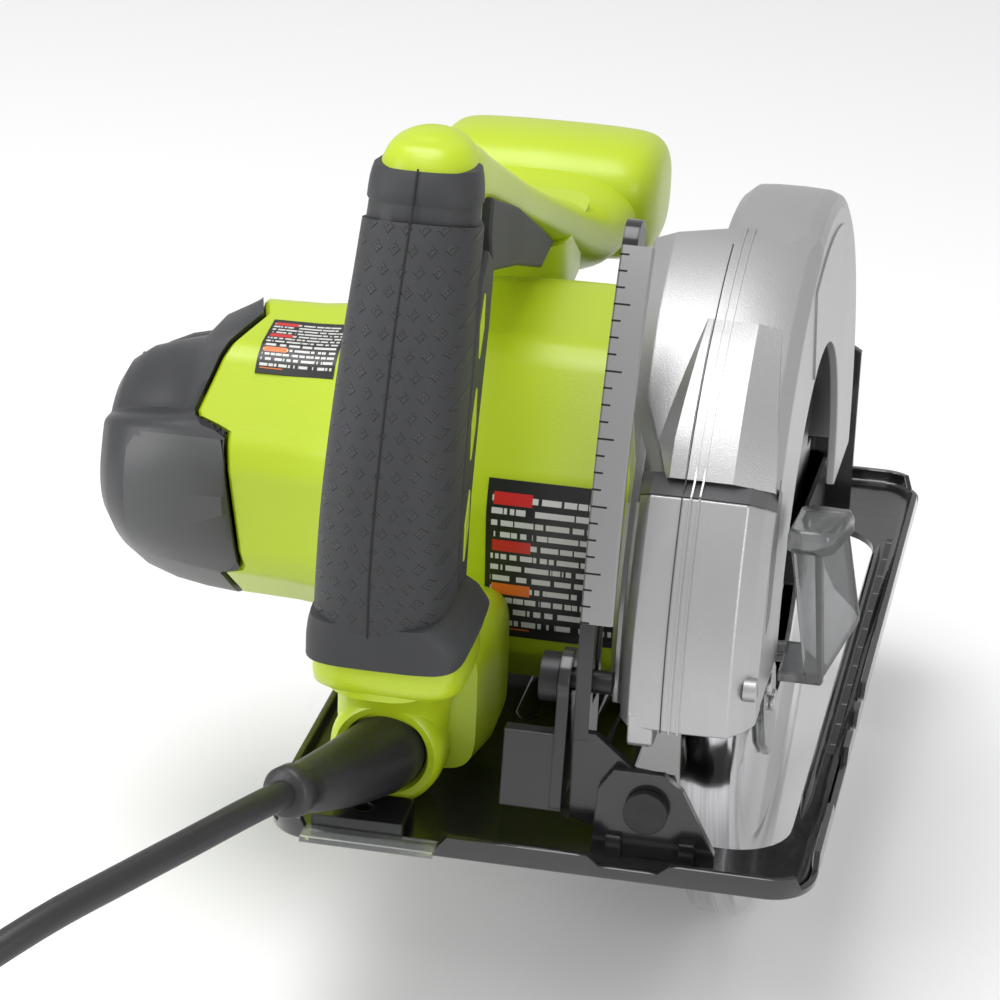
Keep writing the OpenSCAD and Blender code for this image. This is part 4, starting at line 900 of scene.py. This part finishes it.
loft("lever_cap", cap_rings, smoke, "lower_guard", "smoky_plastic", sharp=50, bevel=0.8)


# ---- The base plate ----
# Pressed steel with a turned-up rim, in gloss black enamel. It has a window for the blade, ribs in
# its floor, cut-outs in its rim, a sight hole and a printed ruler along the right-hand rail.
BLACK = (0.011, 0.011, 0.012)
enamel = mottled(Paint("black_enamel", BLACK, 0.17, Coat_Weight=0.5, Coat_Roughness=0.06), 0.25, 30)
enamel.relief(enamel.noise(260, 2), 0.00012)
enamel.feed("Roughness", enamel.noise(90, 3) * 0.16 + 0.12)
base_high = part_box("base_plate")[1]
half_w, half_l = base_high.x / MM, base_high.y / MM
RIM = base_high.z / MM
window = (16, 62, -117, 97, 15)


def rounded_outline(x0, x1, y0, y1, r, step=3.0):
    """Points round a rectangle with round corners, starting at its right-hand side."""
    points = []
    for cx, cy, a0 in ((x1 - r, y1 - r, 0), (x0 + r, y1 - r, 90), (x0 + r, y0 + r, 180),
                       (x1 - r, y0 + r, 270)):
        points += [(cx + r * cos(radians(a)), cy + r * sin(radians(a))) for a in range(a0, a0 + 100, 10)]
    dense = []
    for (xa, ya), (xb, yb) in zip(points, points[1:] + points[:1]):
        count = max(1, int(hypot(xb - xa, yb - ya) / step))
        dense += [(xa + (xb - xa) * k / count, ya + (yb - ya) * k / count) for k in range(count)]
    return dense


outer = rounded_outline(-half_w, half_w, -half_l, half_l, 12)
CUTS = [(16, 33, -200, -130, 2.6), (60, 80, -92, -60, 3.6), (60, 80, -45, -38, 2), (60, 80, -27, -20, 2),
        (-61, -23, -200, -130, 3.9), (-80, -60, -134, -122, 3.9), (-80, -60, 122, 134, 3.9),
        (60, 80, -134, -122, 3.9), (60, 80, 122, 134, 3.9)]


def rim_drop(x, y):
    """How far the rim is cut down at a place on it."""
    return max([drop for x0, x1, y0, y1, drop in CUTS if x0 <= x <= x1 and y0 <= y <= y1] + [0])


def hole_match(points):
    """The window's edge, seen from its middle in the directions of the given points."""
    x0, x1, y0, y1, r = window
    edge = rounded_outline(x0, x1, y0, y1, r, 1.0)
    cx, cy = (x0 + x1) / 2, (y0 + y1) / 2
    angles = [(atan2(y - cy, x - cx), x, y) for x, y in edge]
    found = []
    for x, y in points:
        a = atan2(y - cy, x - cx)
        best = min(angles, key=lambda e: abs((e[0] - a + pi) % (2 * pi) - pi))
        found.append(best[1:])
    return found


def shrunk(points, inset):
    """The plate's outline drawn in all round by an inset."""
    out = []
    for x, y in points:
        nx = max(-half_w + 12, min(half_w - 12, x))
        ny = max(-half_l + 12, min(half_l - 12, y))
        dx, dy = x - nx, y - ny
        size = hypot(dx, dy) or 1
        out.append((x - dx / size * inset, y - dy / size * inset))
    return out


hole = hole_match(outer)
rings = []
for inset, z in ((0.35, 0.0), (0, 0.5), (0, RIM - 0.25), (0.35, RIM), (1.6, RIM), (1.9, RIM - 0.3),
                 (1.9, 4.2), (2.3, 2.9), (3.3, 2.2), (5, 2.0)):
    ring = []
    for (x, y), (ix, iy) in zip(outer, shrunk(outer, inset)):
        drop = rim_drop(x, y) if z > 4 else 0
        ring.append((ix, iy, z - drop if z > 2.2 else z))
    rings.append(ring)
rings.append([(x, y, 2.0) for x, y in hole])
rings.append([(x, y, 0.0) for x, y in hole])
base = loft("base_plate_pressing", rings, enamel, "shoe", "black_steel", closed_path=True, sharp=40)
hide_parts("base_plate")
for k, (x, y0, y1) in enumerate(((4, -112, 20), (-18, -60, 60), (-42, -100, 100))):
    rib_rings = []
    for y in (y0, y0 + 2, y0 + 5, y1 - 5, y1 - 2, y1):
        edge = min(1.0, min(y - y0, y1 - y) / 5 + 0.05)
        rib_rings.append([(x + 3.4 * edge * cos(a), y, 1.9 + 1.5 * edge * sin(a))
                          for a in (pi * j / 10 for j in range(11))])
    loft(f"base_rib_{k + 1}", rib_rings, enamel, "shoe", "black_steel", sharp=50)

bead = []
for k in range(31):
    y = -96 + 184 * k / 30
    swell = min(1.0, k / 2 + 0.15, (30 - k) / 2 + 0.15)
    bead.append([(63.4 + 1.5 * swell * cos(a), y, 1.9 + 2.2 * swell * sin(a))
                 for a in (pi * j / 10 for j in range(11))])
loft("rail_bead", bead, enamel, "shoe", "black_steel", sharp=50)

ruler_paint = Paint("rail_ruler", BLACK, 0.3)
inch = ruler_paint.axis("Y") / 0.0254
sixteenth = ((inch * 8).part() - 0.5).size() < 0.08
half = ((inch * 2 + 0.25).part() - 0.25).size() < 0.03
long_side = ruler_paint.axis("X") > 0.0671
half_side = ruler_paint.axis("X") > 0.0656
print_mask = ((sixteenth * long_side) + (half * half_side)).clipped(0.2, 0.8)
ruler_paint.feed("Base Color", ruler_paint.blend(print_mask, BLACK, (0.3, 0.3, 0.3)))
slab("rail_ruler_print", [(65.3, -57, 2.02), (69.6, -57, 2.02), (69.6, 92, 2.02), (65.3, 92, 2.02)],
     (0, 0, 0.06), ruler_paint, "shoe", "black_steel", bevel=0.0)


# ---- The brackets, the bridges and the depth arm ----
# Folded steel strip in the same gloss black enamel as the base plate, its sheared edges dulled a
# little. A silvered strip with the depth scale lies on the arm's edge. The window is clear acrylic.
pressed_black = mottled(Paint("bracket_enamel", BLACK, 0.2, Coat_Weight=0.4, Coat_Roughness=0.1), 0.25, 35)
pressed_black.soft_edges(0.0009)
for name in ("rear_bevel_bracket", "front_bevel_bracket", "guide_bridges", "front_pivot_plate", "depth_arm",
             "depth_lever", "bracket_rivets"):
    wear(name, pressed_black)
hinge_y, hinge_z = 104, 24
SCALE_GREY = (0.3, 0.3, 0.305)
scale_paint = Paint("depth_scale", SCALE_GREY, 0.4, Metallic=0.6)
sweep = scale_paint.add("ShaderNodeMath", {"operation": "ARCTAN2"}, {
    0: scale_paint.axis("Z") - hinge_z * MM, 1: (scale_paint.axis("Y") - hinge_y * MM) * -1.0}) * (180 / pi)
beat = sweep / 1.06
tick = (beat.part() - 0.5).size() < 0.06
long_tick = ((beat.whole() / 4).part() < 0.1) * 1.0
reach = scale_paint.axis("X") < (long_tick * 1.9 + 9.1) * MM
scale_paint.feed("Base Color", scale_paint.blend(tick * reach, SCALE_GREY, (0.02, 0.02, 0.02)))
scale_rings = []
for k in range(41):
    a = radians(170 - (170 - 146) * k / 40)
    scale_rings.append([(x, hinge_y + r * cos(a), hinge_z + r * sin(a)) for x, r in (
        (6.7, 229.1), (6.7, 230.4), (7.2, 230.9), (14.6, 230.9), (15.1, 230.4), (15.1, 229.1))])
loft("depth_scale_strip", scale_rings, scale_paint, "bevel_frame", "cast_alloy", sharp=40)
acrylic = Paint("clear_acrylic", (0.9, 0.92, 0.92), 0.06, Transmission_Weight=0.9, IOR=1.49)
wear("guide_window", acrylic)


# ---- Pins, knobs and screws ----
# Turned and cold-headed steel. The knobs, the pins and the bolts are blackened and lightly oiled;
# the guard's screws and rivets are bright zinc.
OXIDE = (0.028, 0.028, 0.03)
oxide = mottled(Paint("black_oxide", OXIDE, 0.34, Metallic=0.6), 0.3, 160)
oxide.soft_edges(0.0005)
for name in ("guide_screw", "bevel_pins", "bevel_knob", "depth_bolt", "blade_bolt", "cap_screws",
             "spindle_lock"):
    wear(name, oxide)
for k, (y, z) in enumerate(((-126, 50), (-100, 168), (-52, 150), (32, 108), (84, 106), (-76, 30))):
    rings = [[(x, y + r * cos(a), z + r * sin(a)) for a in (2 * pi * j / 20 for j in range(20))]
             for x, r in ((-46, 1.4), (-33.5, 1.5), (-33.4, 2.8), (-32, 3), (-31.6, 2.6))]
    screw = loft(f"handle_screw_{k + 1}", rings, oxide, "saw_body", "dark_hardware", sharp=40)
    if k == 0:
        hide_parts("handle_screws")
ZINC = (0.66, 0.66, 0.68)
zinc = mottled(Paint("bright_zinc", ZINC, 0.24, Metallic=1.0), 0.06, 120)
zinc.soft_edges(0.0004)
for name in ("guard_screws", "lever_rivets", "guard_ring", "guard_spring", "trigger_spring", "brush_springs"):
    wear(name, zinc)


# ---- The blade ----
# A disc of hardened plate, ground on both faces so that fine circles run about the arbor. Its teeth
# are left as ground. The flanges that clamp it and the arbor are turned and left bare.
PLATE = (0.5, 0.5, 0.52)
ground = Paint("ground_plate", PLATE, 0.28, Metallic=1.0)
across = ground.axis("Y") - shaft_y * MM
upward = ground.axis("Z") - shaft_z * MM
rings_of_grinding = ((across * across + upward * upward) ** 0.5 * 2600).part()
ground.feed("Roughness", rings_of_grinding * 0.12 + 0.22)
ground.relief(rings_of_grinding, 0.00002)
wear("blade", ground)
TURNED = (0.55, 0.55, 0.56)
turned = mottled(Paint("turned_steel", TURNED, 0.26, Metallic=1.0), 0.08, 90)
turned.soft_edges(0.0004)
for name in ("inner_flange", "outer_flange", "output_shaft", "drive_gear", "armature_shaft", "depth_pin"):
    wear(name, turned)
race = mottled(Paint("bearing_races", ZINC, 0.12, Metallic=1.0), 0.03, 60)
for name in ("output_bearing", "inner_bearing", "front_bearing", "rear_bearing"):
    wear(name, race)


# ---- The works inside ----
# The gear case is cast like the guard. The armature and the stator are wound with lacquered copper,
# the brushes are pressed carbon in brass holders, and the switch and the fan are black nylon.
for name in ("gear_case", "guard_side_plate"):
    wear(name, silver)
COPPER = (0.55, 0.21, 0.09)
lacquered = mottled(Paint("lacquered_copper", COPPER, 0.32, Metallic=0.9), 0.25, 200)
lacquered.relief((lacquered.axis("X") * 1400).part(), 0.0002)
for name in ("armature_core", "commutator", "stator"):
    wear(name, lacquered)
wear("brush_holders", pin_metal)
wear("carbon_brushes", mottled(Paint("pressed_carbon", (0.02, 0.02, 0.02), 0.7), 0.3, 300))
for name in ("cooling_fan", "switch_body", "cord_clamp", "trigger"):
    wear(name, cap_grey)
